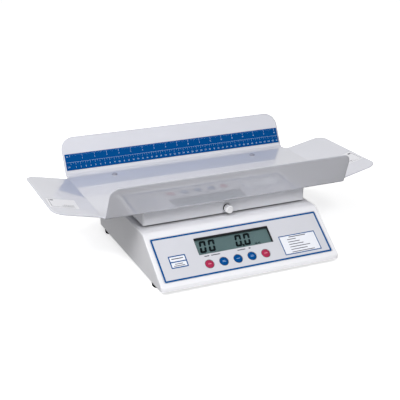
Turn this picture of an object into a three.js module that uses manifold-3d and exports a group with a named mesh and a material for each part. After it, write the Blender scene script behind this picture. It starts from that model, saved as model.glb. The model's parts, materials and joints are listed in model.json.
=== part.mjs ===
// Digital baby weighing scale: a wedge-shaped base with a sloped console, a load cell
// that carries a platform, and a wide tray bent from one translucent sheet.
// Millimetres, +Z up, +Y to the rear, the console faces -Y.
// The pieces are drawn on a bench whose origin is the middle of the housing's front bottom
// edge. The last lines move the bench so that the origin is on the floor, under the middle
// of the whole scale.
import * as THREE from 'three';
import { mergeVertices } from 'three/addons/utils/BufferGeometryUtils.js';
import Module from 'manifold-3d';

const wasm = await Module();
wasm.setup();

// Fits
const gap = 0.3; // left between two pieces that touch
const overrun = 5; // how far a cutting tool runs past what it cuts
const weld = 0.2; // how far a boss or rib sinks into the wall that it is moulded to
const weldTolerance = 0.0001; // vertices nearer than this are one vertex

// Faces on round forms
const arcSteps = 6;
const roundSteps = 20;
const smallRoundSteps = 10;

// Base housing
const housing = {
  width: 353,
  depth: 349,
  lipHeight: 7,
  deckHeight: 74,
  consoleRun: 89,
  wall: 3,
  sideEdge: 2,
  lipEdge: 3,
  kinkEdge: 18,
  rearEdge: 5,
  frontCorner: 6,
  rearCorner: 15,
};
const bossRadius = 4.5;
const bossPilotDepth = 12;
const bossSideInset = 20.5;
const bossFrontInset = 70;
const bossRearInset = 69;

// Bottom plate and feet
const pan = { thickness: 2, recess: 0.6, sideGap: 0.5, corner: 3, standoffRadius: 3 };
const foot = {
  height: 8,
  radius: 14,
  rimRadius: 13,
  rimEdge: 1.5,
  shoulderRadius: 9,
  stemRadius: 3,
  barbRadius: 4.2,
  barbHeight: 3,
  tipRadius: 2,
  sideInset: -0.5,
  frontInset: 31,
  rearInset: 29,
};

// Console panel, drawn up the slope from the lip
const overlay = { sideMargin: 7.9, low: 9.2, topMargin: 11.9, corner: 3, thickness: 0.5 };
const display = { centreX: -13.3, centreUp: 68.3, width: 147.7, height: 34.8, corner: 1 };
const lens = { thickness: 1.5, lap: 4.2 };
const lcd = { lap: 1.2, thickness: 4 };
const lcdFrame = { rim: 3.6 };
const key = {
  count: 5,
  pitch: 27.9,
  middleX: -19.8,
  up: 30.6,
  radius: 8,
  dome: 0.9,
  domeShoulder: 0.7,
  domeShoulderRadius: 5,
  edgeRadius: 7.4,
  edgeDrop: 0.4,
  flangeLap: 1.4,
  flangeThickness: 1.1,
  stemRadius: 2,
  stemLength: 0.6,
  switchGap: 0.7,
};
const board = {
  shift: 0.3,
  low: 22,
  high: 93,
  sideMargin: 20.15,
  thickness: 1.6,
  postInset: 6,
  postRadius: 3.2,
  chipWidth: 22,
  chipLength: 14,
  chipHeight: 1.5,
  chipX: 30,
  switchWidth: 6,
  switchHeight: 2.6,
  plungerRadius: 1.7,
};

// Screws: shank radius, head radius, head height
const caseScrew = { shank: 1.7, head: 3.8, headHeight: 2.4, bite: 9 };
const boardScrew = { shank: 1.2, head: 2.8, headHeight: 2, bite: 3.6 };
const cellScrew = { shank: 2.5, head: 4.2, headHeight: 4, bite: 13 };
const trayScrew = { shank: 1.6, head: 5.5, headHeight: 3, bite: 8 };
const screwSlack = 0.35;

// Load cell: a single-point bar with a dog-bone cut-out
const loadCell = {
  length: 130,
  width: 30,
  height: 22,
  screwInset: 11,
  screwPitch: 14,
  boreRadius: 7,
  boreSpacing: 30,
  slotHeight: 4,
};
const cellBlock = { length: 36, height: 9.4 };
const stop = { radius: 2.2, fromEnd: 3, runningGap: 0.4 };

// Riser and spider that carry the platform
const riser = { footLength: 34, footHeight: 8, columnRadius: 13, headWidth: 56, headHeight: 7, screwReach: 20 };
const riserPilot = 15;
const deckHoleSlack = 11;
const spider = {
  plate: 3,
  armWidth: 34,
  padSideInset: 37.15,
  padEndInset: 30.65,
  armEnd: 14,
  flange: 8,
  flangeThickness: 2.5,
  hubWidth: 130,
  hubDepth: 72,
  hubCorner: 10,
  riserRelief: 2,
  tongueWidth: 28,
  tabDrop: 19,
};
const pad = { radius: 9, topRadius: 7.5, height: 5, edge: 1 };

// Platform cover
const platform = {
  width: 330.3,
  depth: 205.3,
  front: 114.7,
  gapToDeck: 4,
  height: 31.1,
  wall: 2.5,
  corner: 3.5,
  topEdge: 3,
  bossRadius: 5,
  bossDrop: 13,
  screwSideInset: 13.15,
  screwInset: 12,
};

// Thumbscrew that locks the platform cover to the spider
const thumb = {
  up: 10,
  radius: 7.3,
  scallopDepth: 0.8,
  scallops: 10,
  length: 12,
  edge: 1.2,
  shank: 2.9,
  washerRadius: 7.5,
  washerThickness: 2,
  nutAcrossFlats: 10,
  nutThickness: 5,
  tipGap: 3.5,
  tabGap: 0.4,
};

// Tray, bent from one sheet. Folds are given on the underside as sharp corners.
const sheet = 3;
const foldRadius = 8;
const wingFoldRadius = 14;
const tray = {
  frontFold: 94,
  rearFold: 344.5,
  halfWidth: 241,
  frontLean: THREE.MathUtils.degToRad(21.7),
  frontLength: 68.6,
  frontTopHalf: 237,
  frontCorner: 18,
  rearLean: THREE.MathUtils.degToRad(27.5),
  rearLength: 76.7,
  rearCorner: 27,
  wingRise: THREE.MathUtils.degToRad(12.4),
  wingLength: 87.5,
  wingFront: 106,
  wingRear: 322.5,
  wingTaper: 1.5,
  wingCorner: 23,
  frontNotch: 10,
  rearNotch: 12,
};
const strip = { length: 474, width: 32.6, up: 9.8, thickness: 0.5, corner: 0.8 };

// Electronics in the base
const mainBoard = {
  sideRoom: 17.5,
  cellRoom: 4,
  width: 76,
  depth: 96,
  thickness: 1.6,
  standoff: 5.4,
  standoffInset: 7,
  chipWidth: 18,
  chipHeight: 2.2,
  plugX: 22,
  plugWidth: 20,
  plugDepth: 8,
  plugHeight: 9,
  plugFromEdge: 12,
};
const inlet = {
  sideInset: 56.5,
  z: 26,
  bodyWidth: 14,
  bodyHeight: 12,
  bodyDepth: 14,
  noseRadius: 5.2,
  proud: 3,
  boreRadius: 3.1,
  boreDepth: 10,
  pinRadius: 1,
  nutAcrossFlats: 14,
  nutThickness: 2,
};
const cell = { radius: 7.1, length: 48.5, capRadius: 2.8, capHeight: 1.2, edge: 0.8, spacing: 15.2, rows: 2, columns: 2 };
const holder = {
  sideInset: 50.5,
  rearInset: 108,
  wall: 1.6,
  endRoom: 3.2,
  lift: 0.9,
  flange: 4,
  flangeThickness: 1.6,
};
const contact = { thickness: 0.5, height: 11, springRadius: 3.2, springTip: 1.6, springLength: 1.2 };
const cover = { thickness: 1.8, earWidth: 14, earReach: 9, earCorner: 3 };
const ribbon = { width: 18, thickness: 1, up: 78, slack: 26, steps: 12 };

// Worked out from the sizes above
const consoleAngle = Math.atan2(housing.deckHeight - housing.lipHeight, housing.consoleRun);
const panBottom = pan.recess;
const panTop = panBottom + pan.thickness;
const platformBottom = housing.deckHeight + platform.gapToDeck;
const platformTop = platformBottom + platform.height;
const platformCentreY = platform.front + platform.depth / 2;
const cellBottom = panTop + gap + cellBlock.height + gap;
const cellTop = cellBottom + loadCell.height;
const riserX = loadCell.length / 2 - loadCell.screwInset - loadCell.screwPitch / 2;
const padTop = platformTop - platform.wall - gap;
const spiderTop = padTop - pad.height - gap;
const spiderBottom = spiderTop - spider.plate;
const riserTop = spiderBottom - gap;
const riserBottom = cellTop + gap;
const trayBottom = platformTop + gap;
const thumbZ = platformBottom + thumb.up;
const padX = platform.width / 2 - spider.padSideInset;
const padY = platform.depth / 2 - spider.padEndInset;
const boardWidth = display.width + 2 * board.sideMargin;
const boardX = display.centreX + board.shift;
const mainBoardX = mainBoard.width / 2 + mainBoard.sideRoom + housing.wall - housing.width / 2;
const mainBoardY = platformCentreY - loadCell.width / 2 - mainBoard.cellRoom - mainBoard.depth / 2;
const inletX = inlet.sideInset - housing.width / 2;
const holderX = housing.width / 2 - holder.sideInset;
const holderY = housing.depth - holder.rearInset;
const footX = housing.width / 2 - foot.sideInset - foot.radius;
const footYs = [foot.frontInset + foot.radius, housing.depth - foot.rearInset - foot.radius];

// Finishes
function finish(color, roughness, metalness = 0, opacity = 1) {
  return new THREE.MeshStandardMaterial({ color, roughness, metalness, opacity, transparent: opacity < 1 });
}
const white = finish(0xf2f2f4, 0.45);
const platformWhite = finish(0xe4e4e8, 0.5);
const translucent = finish(0xdcdce4, 0.2, 0, 0.75);
const greyPrint = finish(0xdadade, 0.4);
const blue = finish(0x134a8c, 0.4);
const red = finish(0xb8324f, 0.4);
const rubber = finish(0x141414, 0.85);
const blackPlastic = finish(0x1c1c1e, 0.5);
const clear = finish(0xe8f0f0, 0.05, 0, 0.3);
const liquidCrystal = finish(0x556c6a, 0.15);
const steel = finish(0xb8babc, 0.35, 1);
const zincSteel = finish(0x9a9c9e, 0.45, 1);
const aluminium = finish(0xc4c6c8, 0.4, 1);
const circuitGreen = finish(0x1f5a34, 0.6);
const cellJacket = finish(0x4a4e54, 0.4);

// Turns a closed geometry into a solid that can be joined and cut.
function solid(geometry) {
  const bare = geometry.clone();
  bare.deleteAttribute('normal');
  bare.deleteAttribute('uv');
  const merged = mergeVertices(bare, weldTolerance);
  const corners = merged.index.array;
  const faces = [];
  for (let i = 0; i < corners.length; i += 3) {
    const [a, b, c] = [corners[i], corners[i + 1], corners[i + 2]];
    if (a !== b && b !== c && c !== a) {
      faces.push(a, b, c);
    }
  }
  const vertProperties = new Float32Array(merged.attributes.position.array);
  const triVerts = new Uint32Array(faces);
  return new wasm.Manifold(new wasm.Mesh({ numProp: 3, vertProperties, triVerts }));
}

function geometryOf(body) {
  const mesh = body.getMesh();
  const geometry = new THREE.BufferGeometry();
  geometry.setAttribute('position', new THREE.BufferAttribute(mesh.vertProperties, mesh.numProp));
  geometry.setIndex(new THREE.BufferAttribute(mesh.triVerts, 1));
  geometry.computeVertexNormals();
  return geometry;
}

function joined(...geometries) {
  return geometryOf(geometries.map(solid).reduce((a, b) => a.add(b)));
}

function cut(geometry, ...tools) {
  return geometryOf(tools.map(solid).reduce((a, b) => a.subtract(b), solid(geometry)));
}

function common(a, b) {
  return geometryOf(solid(a).intersect(solid(b)));
}

// Points of an outline whose corners are [x, y, radius], each rounded by an arc that
// touches both of its edges.
function roundedPoints(corners, steps = arcSteps, closed = true) {
  const points = [];
  corners.forEach(([x, y, radius = 0], i) => {
    const corner = new THREE.Vector2(x, y);
    const isEnd = !closed && (i === 0 || i === corners.length - 1);
    if (radius === 0 || isEnd) {
      points.push(corner);
      return;
    }
    const [beforeX, beforeY] = corners.at(i - 1);
    const [afterX, afterY] = corners[(i + 1) % corners.length];
    const back = new THREE.Vector2(beforeX, beforeY).sub(corner).normalize();
    const ahead = new THREE.Vector2(afterX, afterY).sub(corner).normalize();
    const halfAngle = Math.acos(THREE.MathUtils.clamp(back.dot(ahead), -1, 1)) / 2;
    const centre = back.clone().add(ahead).normalize().multiplyScalar(radius / Math.sin(halfAngle)).add(corner);
    const start = back.clone().multiplyScalar(radius / Math.tan(halfAngle)).add(corner).sub(centre);
    const turn = (Math.PI - 2 * halfAngle) * Math.sign(ahead.cross(back));
    for (let k = 0; k <= steps; k++) {
      points.push(start.clone().rotateAround(new THREE.Vector2(), (turn * k) / steps).add(centre));
    }
  });
  return points;
}

function outline(corners, steps) {
  return new THREE.Shape(roundedPoints(corners, steps));
}

function rectangle(width, depth, radius = 0, steps = arcSteps) {
  const [x, y] = [width / 2, depth / 2];
  return outline([[-x, -y, radius], [x, -y, radius], [x, y, radius], [-x, y, radius]], steps);
}

function circlePoints(radius, x = 0, y = 0, steps = smallRoundSteps) {
  return Array.from({ length: steps }, (_, k) => {
    const angle = (2 * Math.PI * k) / steps;
    return new THREE.Vector2(x + radius * Math.cos(angle), y + radius * Math.sin(angle));
  });
}

function withHoles(shape, ...holes) {
  holes.forEach((points) => shape.holes.push(new THREE.Path(points)));
  return shape;
}

// A shape raised from z = low to z = high.
function raised(shape, low, high) {
  return new THREE.ExtrudeGeometry(shape, { depth: high - low, bevelEnabled: false }).translate(0, 0, low);
}

function block(width, depth, low, high, x = 0, y = 0) {
  return raised(rectangle(width, depth), low, high).translate(x, y, 0);
}

function rod(radius, low, high, x = 0, y = 0, steps = roundSteps) {
  return raised(new THREE.Shape(circlePoints(radius, x, y, steps)), low, high);
}

// A profile of [radius, z] pairs turned round the Z axis, from axis to axis or closed.
function turned(profile, steps = roundSteps) {
  const points = profile.map(([radius, z]) => new THREE.Vector2(radius, z));
  return new THREE.LatheGeometry(points, steps).rotateX(Math.PI / 2);
}

// Turns a shape drawn in Y and Z, and raised along Z, so that it runs along X.
function alongX(geometry) {
  const [x, y, z] = [new THREE.Vector3(0, 1, 0), new THREE.Vector3(0, 0, 1), new THREE.Vector3(1, 0, 0)];
  return geometry.applyMatrix4(new THREE.Matrix4().makeBasis(x, y, z));
}

// Turns what is raised along +Z so that it runs along -Y, with its own Y along Z.
function alongFront(geometry) {
  return geometry.rotateX(Math.PI / 2);
}

// The console's own frame: X across, Y up the slope from the lip, Z out of the panel.
const consoleMatrix = new THREE.Matrix4()
  .makeTranslation(0, 0, housing.lipHeight)
  .multiply(new THREE.Matrix4().makeRotationX(consoleAngle));

function onConsole(geometry) {
  return geometry.applyMatrix4(consoleMatrix);
}

function screw({ shank, head, headHeight }, length) {
  const crown = headHeight / 3;
  return turned([
    [0, -length],
    [shank, -length],
    [shank, 0],
    [head, 0],
    [head, headHeight - crown],
    [head - crown, headHeight],
    [0, headHeight],
  ], smallRoundSteps);
}

const bench = new THREE.Group();
const consoleGroup = new THREE.Group();
consoleGroup.position.set(0, 0, housing.lipHeight);
consoleGroup.rotation.x = consoleAngle;
bench.add(consoleGroup);

function piece(name, geometry, material, parent = bench) {
  const mesh = new THREE.Mesh(geometry, material);
  mesh.name = name;
  parent.add(mesh);
  return mesh;
}

// Where things stand on the base
const bossPlaces = [-1, 1].flatMap((side) => [bossFrontInset, housing.depth - bossRearInset].map((y) => (
  [side * (housing.width / 2 - bossSideInset), y]
)));
const keyPlaces = Array.from({ length: key.count }, (_, i) => (
  [key.middleX + (i - (key.count - 1) / 2) * key.pitch, key.up]
));
const boardMiddle = (board.low + board.high) / 2;
const postPlaces = [-1, 1].map((side) => (
  [boardX + side * (boardWidth / 2 - board.postInset), boardMiddle]
));
const lensTop = -housing.wall - gap;
const lcdTop = lensTop - lens.thickness - gap;
const boardTop = lcdTop - lcd.thickness - gap;
const boardBottom = boardTop - board.thickness;
const keyFlangeTop = -housing.wall - gap;
const keyStemEnd = keyFlangeTop - key.flangeThickness - key.stemLength;

// The housing's body, inset by the wall for its hollow.
function wedge(inset, bottom) {
  const front = inset;
  const rear = housing.depth - inset;
  const roof = housing.deckHeight - inset;
  const drop = inset / Math.cos(consoleAngle);
  const lip = housing.lipHeight + front * Math.tan(consoleAngle) - drop;
  const kink = (roof - housing.lipHeight + drop) / Math.tan(consoleAngle);
  const edge = Math.max(housing.sideEdge - inset, 0);
  const profile = outline([
    [front, bottom - overrun],
    [front, lip, Math.max(housing.lipEdge - inset, 0)],
    [kink, roof, housing.kinkEdge - inset],
    [rear, roof, Math.max(housing.rearEdge - inset, 0)],
    [rear, bottom - overrun],
  ], arcSteps / 2);
  const width = housing.width - 2 * inset;
  const body = new THREE.ExtrudeGeometry(profile, {
    depth: width - 2 * edge,
    bevelEnabled: edge > 0,
    bevelThickness: edge,
    bevelSize: edge,
    bevelOffset: -edge,
    bevelSegments: arcSteps / 2,
  }).translate(0, 0, edge - width / 2);
  const [x, y] = [width / 2, inset];
  const plan = outline([
    [-x, y, housing.frontCorner - inset],
    [x, y, housing.frontCorner - inset],
    [x, rear, housing.rearCorner - inset],
    [-x, rear, housing.rearCorner - inset],
  ]);
  return common(alongX(body), raised(plan, bottom, housing.deckHeight + overrun));
}

function makeHousing() {
  const outside = wedge(0, 0);
  const shell = cut(outside, wedge(housing.wall, -overrun));
  const bosses = bossPlaces.map(([x, y]) => rod(bossRadius, panTop + gap, housing.deckHeight, x, y, smallRoundSteps));
  const posts = postPlaces.map(([x, up]) => (
    onConsole(rod(board.postRadius, boardTop + gap, -housing.wall + weld, x, up, smallRoundSteps))
  ));
  const reinforced = joined(shell, ...bosses.map((boss) => common(boss, outside)), ...posts);
  const pilot = caseScrew.shank + screwSlack;
  const postPilot = boardScrew.shank + screwSlack;
  const holeRadius = key.radius + gap;
  const cuts = [
    ...bossPlaces.map(([x, y]) => rod(pilot, 0, panTop + bossPilotDepth, x, y, smallRoundSteps)),
    ...postPlaces.map(([x, up]) => (
      onConsole(rod(postPilot, boardTop, boardTop + gap + boardScrew.bite + gap, x, up, smallRoundSteps))
    )),
    ...keyPlaces.map(([x, up]) => onConsole(rod(holeRadius, -housing.wall - overrun, overrun, x, up))),
    onConsole(raised(displayShape(0), -housing.wall - overrun, overrun)),
    onConsole(raised(overlayShape(gap), -overlay.thickness - gap, overrun)),
    rod(riser.columnRadius + deckHoleSlack, housing.deckHeight - housing.wall - overrun,
      housing.deckHeight + overrun, riserX, platformCentreY),
    alongFront(rod(inlet.noseRadius + gap, -overrun, housing.wall + overrun))
      .translate(inletX, housing.depth, inlet.z),
  ];
  return cut(reinforced, ...cuts);
}

function displayShape(lap) {
  const shape = rectangle(display.width + 2 * lap, display.height + 2 * lap, display.corner, arcSteps / 2);
  return new THREE.Shape(shape.getPoints().map((p) => p.add(new THREE.Vector2(display.centreX, display.centreUp))));
}

function overlayShape(lap) {
  const x = housing.width / 2 - overlay.sideMargin + lap;
  const slope = Math.hypot(housing.deckHeight - housing.lipHeight, housing.consoleRun);
  const [low, high] = [overlay.low - lap, slope - overlay.topMargin + lap];
  return outline([
    [-x, low, overlay.corner],
    [x, low, overlay.corner],
    [x, high, overlay.corner],
    [-x, high, overlay.corner],
  ], arcSteps / 2);
}

function makeOverlay() {
  const window = displayShape(0).getPoints();
  const keyHoles = keyPlaces.map(([x, up]) => circlePoints(key.radius + gap, x, up, roundSteps));
  return raised(withHoles(overlayShape(0), window, ...keyHoles), -overlay.thickness, 0);
}

function makeKey() {
  const flange = key.radius + key.flangeLap;
  const flangeBottom = keyFlangeTop - key.flangeThickness;
  return turned([
    [0, keyStemEnd],
    [key.stemRadius, keyStemEnd],
    [key.stemRadius, flangeBottom],
    [flange, flangeBottom],
    [flange, keyFlangeTop],
    [key.radius, keyFlangeTop],
    [key.radius, -key.edgeDrop],
    [key.edgeRadius, key.dome - key.domeShoulder],
    [key.domeShoulderRadius, key.domeShoulder],
    [0, key.dome],
  ]);
}

function makeDisplayBoard() {
  const depth = board.high - board.low;
  const shape = withHoles(
    rectangle(boardWidth, depth),
    ...postPlaces.map(([x]) => circlePoints(boardScrew.shank + screwSlack, x - boardX, 0)),
  );
  const sheetOfBoard = raised(shape, boardBottom, boardTop).translate(boardX, boardMiddle, 0);
  const plungerTop = keyStemEnd - key.switchGap;
  const switches = keyPlaces.flatMap(([x, up]) => [
    block(board.switchWidth, board.switchWidth, boardTop - weld, boardTop + board.switchHeight, x, up),
    rod(board.plungerRadius, boardTop, plungerTop, x, up, smallRoundSteps),
  ]);
  const chips = [-1, 1].map((side) => (
    block(board.chipWidth, board.chipLength, boardBottom - board.chipHeight, boardBottom + weld,
      boardX + side * board.chipX, boardMiddle)
  ));
  return joined(sheetOfBoard, ...switches, ...chips);
}

function makeConsole() {
  piece('console_overlay', makeOverlay(), greyPrint, consoleGroup);
  piece('lcd_window', raised(displayShape(lens.lap), lensTop - lens.thickness, lensTop), clear, consoleGroup);
  piece('lcd_module', raised(displayShape(lcd.lap), lcdTop - lcd.thickness, lcdTop), liquidCrystal, consoleGroup);
  const frameHole = displayShape(lcd.lap + gap).getPoints();
  const frame = withHoles(displayShape(lcd.lap + gap + lcdFrame.rim), frameHole);
  piece('lcd_frame', raised(frame, lcdTop - lcd.thickness, lcdTop), blackPlastic, consoleGroup);
  piece('display_board', makeDisplayBoard(), circuitGreen, consoleGroup);
  postPlaces.forEach(([x, up], i) => {
    const fastener = screw(boardScrew, board.thickness + 2 * gap + boardScrew.bite).rotateX(Math.PI);
    piece(`board_screw_${i + 1}`, fastener, zincSteel, consoleGroup).position.set(x, up, boardBottom - gap);
  });
  keyPlaces.forEach(([x, up], i) => {
    const isEnd = i === 0 || i === key.count - 1;
    piece(`key_${i + 1}`, makeKey(), isEnd ? red : blue, consoleGroup).position.set(x, up, 0);
  });
}

const holderWidth = cell.columns * cell.spacing + 2 * (holder.wall + gap);
const holderDepth = cell.rows * (cell.length + cell.capHeight) + 2 * (holder.wall + holder.endRoom);
const coverWidth = holderWidth - 2 * holder.wall;
const coverDepth = holderDepth - 2 * holder.wall;
const cellFloor = panTop + holder.lift;
const holderRoof = cellFloor + 2 * cell.radius + gap;
const coverScrewY = holderY - coverDepth / 2 - cover.earReach / 2;
const cellScrewXs = [0, 1].map((i) => loadCell.length / 2 - loadCell.screwInset - i * loadCell.screwPitch);
const standoffPlaces = [-1, 1].flatMap((side) => [-1, 1].map((end) => [
  mainBoardX + side * (mainBoard.width / 2 - mainBoard.standoffInset),
  mainBoardY + end * (mainBoard.depth / 2 - mainBoard.standoffInset),
]));
const stopX = loadCell.length / 2 - stop.fromEnd;

function footStemPlaces() {
  return [-1, 1].flatMap((side) => footYs.map((y) => [side * footX, y]));
}

function makeBottomPan() {
  const inset = housing.wall + pan.sideGap;
  const x = housing.width / 2 - inset;
  const rear = housing.depth - inset;
  const rearCorner = housing.rearCorner - inset;
  const shape = outline([[-x, inset, pan.corner], [x, inset, pan.corner], [x, rear, rearCorner], [-x, rear, rearCorner]]);
  const at = (radius) => ([px, py]) => circlePoints(radius, px, py);
  const opening = rectangle(coverWidth + 2 * gap, coverDepth + 2 * gap).getPoints();
  const shift = new THREE.Vector2(holderX, holderY);
  withHoles(
    shape,
    ...footStemPlaces().map(at(foot.stemRadius + gap)),
    ...bossPlaces.map(at(caseScrew.shank + screwSlack)),
    ...cellScrewXs.map((sx) => circlePoints(cellScrew.shank + screwSlack, -sx, platformCentreY)),
    circlePoints(stop.radius + gap, stopX, platformCentreY),
    circlePoints(caseScrew.shank + screwSlack, holderX, coverScrewY),
    opening.map((p) => p.add(shift)),
  );
  const plate = raised(shape, panBottom, panTop);
  const standoffs = standoffPlaces.map(([px, py]) => (
    rod(pan.standoffRadius, panTop - weld, panTop + mainBoard.standoff, px, py, smallRoundSteps)
  ));
  return joined(plate, ...standoffs);
}

function makeFoot() {
  const top = panBottom - gap;
  const barb = panTop + gap;
  return turned([
    [0, -foot.height],
    [foot.rimRadius - foot.rimEdge, -foot.height],
    [foot.rimRadius, foot.rimEdge - foot.height],
    [foot.radius, -gap],
    [foot.shoulderRadius, -gap],
    [foot.shoulderRadius, top],
    [foot.stemRadius, top],
    [foot.stemRadius, barb],
    [foot.barbRadius, barb],
    [foot.tipRadius, barb + foot.barbHeight],
    [0, barb + foot.barbHeight],
  ], roundSteps);
}

function makeBase() {
  piece('housing', makeHousing(), white);
  piece('bottom_pan', makeBottomPan(), zincSteel);
  footStemPlaces().forEach(([x, y]) => {
    const name = `foot_${y < platformCentreY ? 'front' : 'rear'}_${x < 0 ? 'left' : 'right'}`;
    piece(name, makeFoot(), rubber).position.set(x, y, 0);
  });
  const length = gap + pan.thickness + gap + caseScrew.bite;
  bossPlaces.forEach(([x, y], i) => {
    const fastener = screw(caseScrew, length).rotateX(Math.PI);
    piece(`base_screw_${i + 1}`, fastener, zincSteel).position.set(x, y, panBottom - gap);
  });
}

function makeLoadCell() {
  const [half, high] = [loadCell.length / 2, loadCell.height / 2];
  const bar = outline([[-half, -high], [half, -high], [half, high], [-half, high]]);
  const bores = boneOutline();
  withHoles(bar, bores);
  const along = alongFront(raised(bar, -loadCell.width / 2, loadCell.width / 2));
  const holes = cellScrewXs.flatMap((x) => [-x, x]).map((x) => (
    rod(cellScrew.shank + screwSlack, -loadCell.height, loadCell.height, x, 0, smallRoundSteps)
  ));
  return cut(along, ...holes).translate(0, platformCentreY, (cellBottom + cellTop) / 2);
}

// Two bores joined by a slot, as one outline.
function boneOutline() {
  const half = loadCell.slotHeight / 2;
  const meets = Math.asin(half / loadCell.boreRadius);
  const sweep = 2 * (Math.PI - meets);
  return [1, -1].flatMap((side) => Array.from({ length: roundSteps / 2 + 1 }, (_, k) => {
    const angle = (side > 0 ? -Math.PI : 0) + meets + (sweep * k) / (roundSteps / 2);
    return new THREE.Vector2(
      side * loadCell.boreSpacing / 2 + loadCell.boreRadius * Math.cos(angle),
      loadCell.boreRadius * Math.sin(angle),
    );
  }));
}

function makeRiser() {
  const foundation = block(riser.footLength, loadCell.width, riserBottom, riserBottom + riser.footHeight);
  const column = rod(riser.columnRadius, riserBottom, riserTop);
  const head = raised(rectangle(riser.headWidth, riser.headWidth, spider.hubCorner), riserTop - riser.headHeight, riserTop);
  const hole = cellScrew.shank + screwSlack;
  const cuts = [-1, 1].flatMap((side) => [
    rod(hole, riserBottom - overrun, riserBottom + riserPilot, side * loadCell.screwPitch / 2, 0, smallRoundSteps),
    rod(hole, riserTop - riser.headHeight - overrun, riserTop + overrun, side * riser.screwReach, 0, smallRoundSteps),
  ]);
  return cut(joined(foundation, column, head), ...cuts);
}

function makeSpider() {
  const reach = Math.hypot(padX, padY) + spider.armEnd;
  const armAngle = Math.atan2(padY, padX);
  const flangeAt = (spider.armWidth - spider.flangeThickness) / 2;
  const arms = [-1, 1].flatMap((side) => [
    block(2 * reach, spider.armWidth, spiderBottom, spiderTop),
    ...[-1, 1].map((edge) => (
      block(2 * reach, spider.flangeThickness, spiderBottom - spider.flange, spiderTop, 0, edge * flangeAt)
    )),
  ].map((bar) => bar.rotateZ(side * armAngle)));
  const hub = raised(rectangle(spider.hubWidth, spider.hubDepth, spider.hubCorner), spiderBottom, spiderTop)
    .translate(riserX / 2, 0, 0);
  const tabFront = platform.front + platform.wall + gap + thumb.nutThickness + thumb.tipGap + thumb.tabGap;
  const tongueLength = platformCentreY - tabFront;
  const tongue = block(spider.tongueWidth, tongueLength, spiderBottom, spiderTop, 0, -tongueLength / 2);
  const tab = block(spider.tongueWidth, spider.plate, spiderTop - spider.tabDrop, spiderTop,
    0, spider.plate / 2 - tongueLength);
  const relief = riser.headWidth + 2 * spider.riserRelief;
  const room = block(relief, relief, spiderBottom - spider.flange - overrun, spiderBottom, riserX, 0);
  const holes = [-1, 1].map((side) => (
    rod(cellScrew.shank + screwSlack, spiderBottom - overrun, spiderTop + overrun,
      riserX + side * riser.screwReach, 0, smallRoundSteps)
  ));
  return cut(joined(...arms, hub, tongue, tab), room, ...holes);
}

function makeLoadPath() {
  const centre = platformCentreY;
  const cellScrewLength = gap + pan.thickness + cellBlock.height + 2 * gap + cellScrew.bite;
  const hole = cellScrew.shank + screwSlack;
  const blockX = -riserX;
  const blockShape = withHoles(
    rectangle(cellBlock.length, loadCell.width),
    ...[-1, 1].map((side) => circlePoints(hole, side * loadCell.screwPitch / 2, 0)),
  );
  piece('load_cell_block', raised(blockShape, panTop + gap, panTop + gap + cellBlock.height), aluminium)
    .position.set(blockX, centre, 0);
  piece('load_cell', makeLoadCell(), aluminium);
  cellScrewXs.forEach((x, i) => {
    const lower = screw(cellScrew, cellScrewLength).rotateX(Math.PI);
    piece(`load_cell_screw_${i + 1}`, lower, steel).position.set(-x, centre, panBottom - gap);
    const upper = screw(cellScrew, loadCell.height + 2 * gap + cellScrew.bite).rotateX(Math.PI);
    piece(`riser_screw_${i + 1}`, upper, steel).position.set(x, centre, cellBottom - gap);
  });
  const stopHead = { shank: stop.radius, head: cellScrew.head, headHeight: cellScrew.headHeight / 2 };
  const stopLength = cellBottom - stop.runningGap - (panBottom - gap);
  piece('overload_stop', screw(stopHead, stopLength).rotateX(Math.PI), steel)
    .position.set(stopX, centre, panBottom - gap);
  piece('platform_riser', makeRiser(), aluminium).position.set(riserX, centre, 0);
  piece('spider', makeSpider(), zincSteel).position.set(0, centre, 0);
  [-1, 1].forEach((side, i) => {
    piece(`spider_screw_${i + 1}`, screw(cellScrew, spider.plate + 2 * gap + riser.headHeight), steel)
      .position.set(riserX + side * riser.screwReach, centre, spiderTop + gap);
  });
  [-1, 1].forEach((sideX) => [-1, 1].forEach((sideY) => {
    const rubberPad = turned([
      [0, padTop - pad.height],
      [pad.radius, padTop - pad.height],
      [pad.radius, padTop - pad.edge],
      [pad.topRadius, padTop],
      [0, padTop],
    ], smallRoundSteps);
    const name = `platform_pad_${sideY < 0 ? 'front' : 'rear'}_${sideX < 0 ? 'left' : 'right'}`;
    piece(name, rubberPad, rubber).position.set(sideX * padX, centre + sideY * padY, 0);
  }));
}

const trayScrewPlaces = [-1, 1].flatMap((side) => [-1, 1].map((end) => [
  side * (platform.width / 2 - platform.screwSideInset),
  end * (platform.depth / 2 - platform.screwInset),
]));

function makePlatform() {
  const edge = platform.topEdge;
  const box = (inset, bottom, top) => new THREE.ExtrudeGeometry(
    rectangle(platform.width - 2 * inset, platform.depth - 2 * inset, platform.corner - inset),
    {
      depth: top - bottom - edge,
      bevelThickness: edge,
      bevelSize: edge - inset,
      bevelOffset: inset - edge,
      bevelSegments: arcSteps / 2,
    },
  ).translate(0, 0, bottom);
  const floor = platformBottom - overrun;
  const outside = common(box(0, floor, platformTop), block(
    platform.width + overrun, platform.depth + overrun, platformBottom, platformTop + overrun,
  ));
  const shell = cut(outside, box(platform.wall, floor - overrun, platformTop - platform.wall));
  const bosses = trayScrewPlaces.map(([x, y]) => (
    rod(platform.bossRadius, platformTop - platform.wall - platform.bossDrop, platformTop - platform.wall + weld,
      x, y, smallRoundSteps)
  ));
  const holes = trayScrewPlaces.map(([x, y]) => (
    rod(trayScrew.shank + screwSlack, platformBottom, platformTop + overrun, x, y, smallRoundSteps)
  ));
  const thumbHole = alongFront(rod(thumb.shank + screwSlack, -platform.wall - overrun, overrun))
    .translate(0, -platform.depth / 2, thumbZ);
  return cut(joined(shell, ...bosses), ...holes, thumbHole);
}

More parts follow.
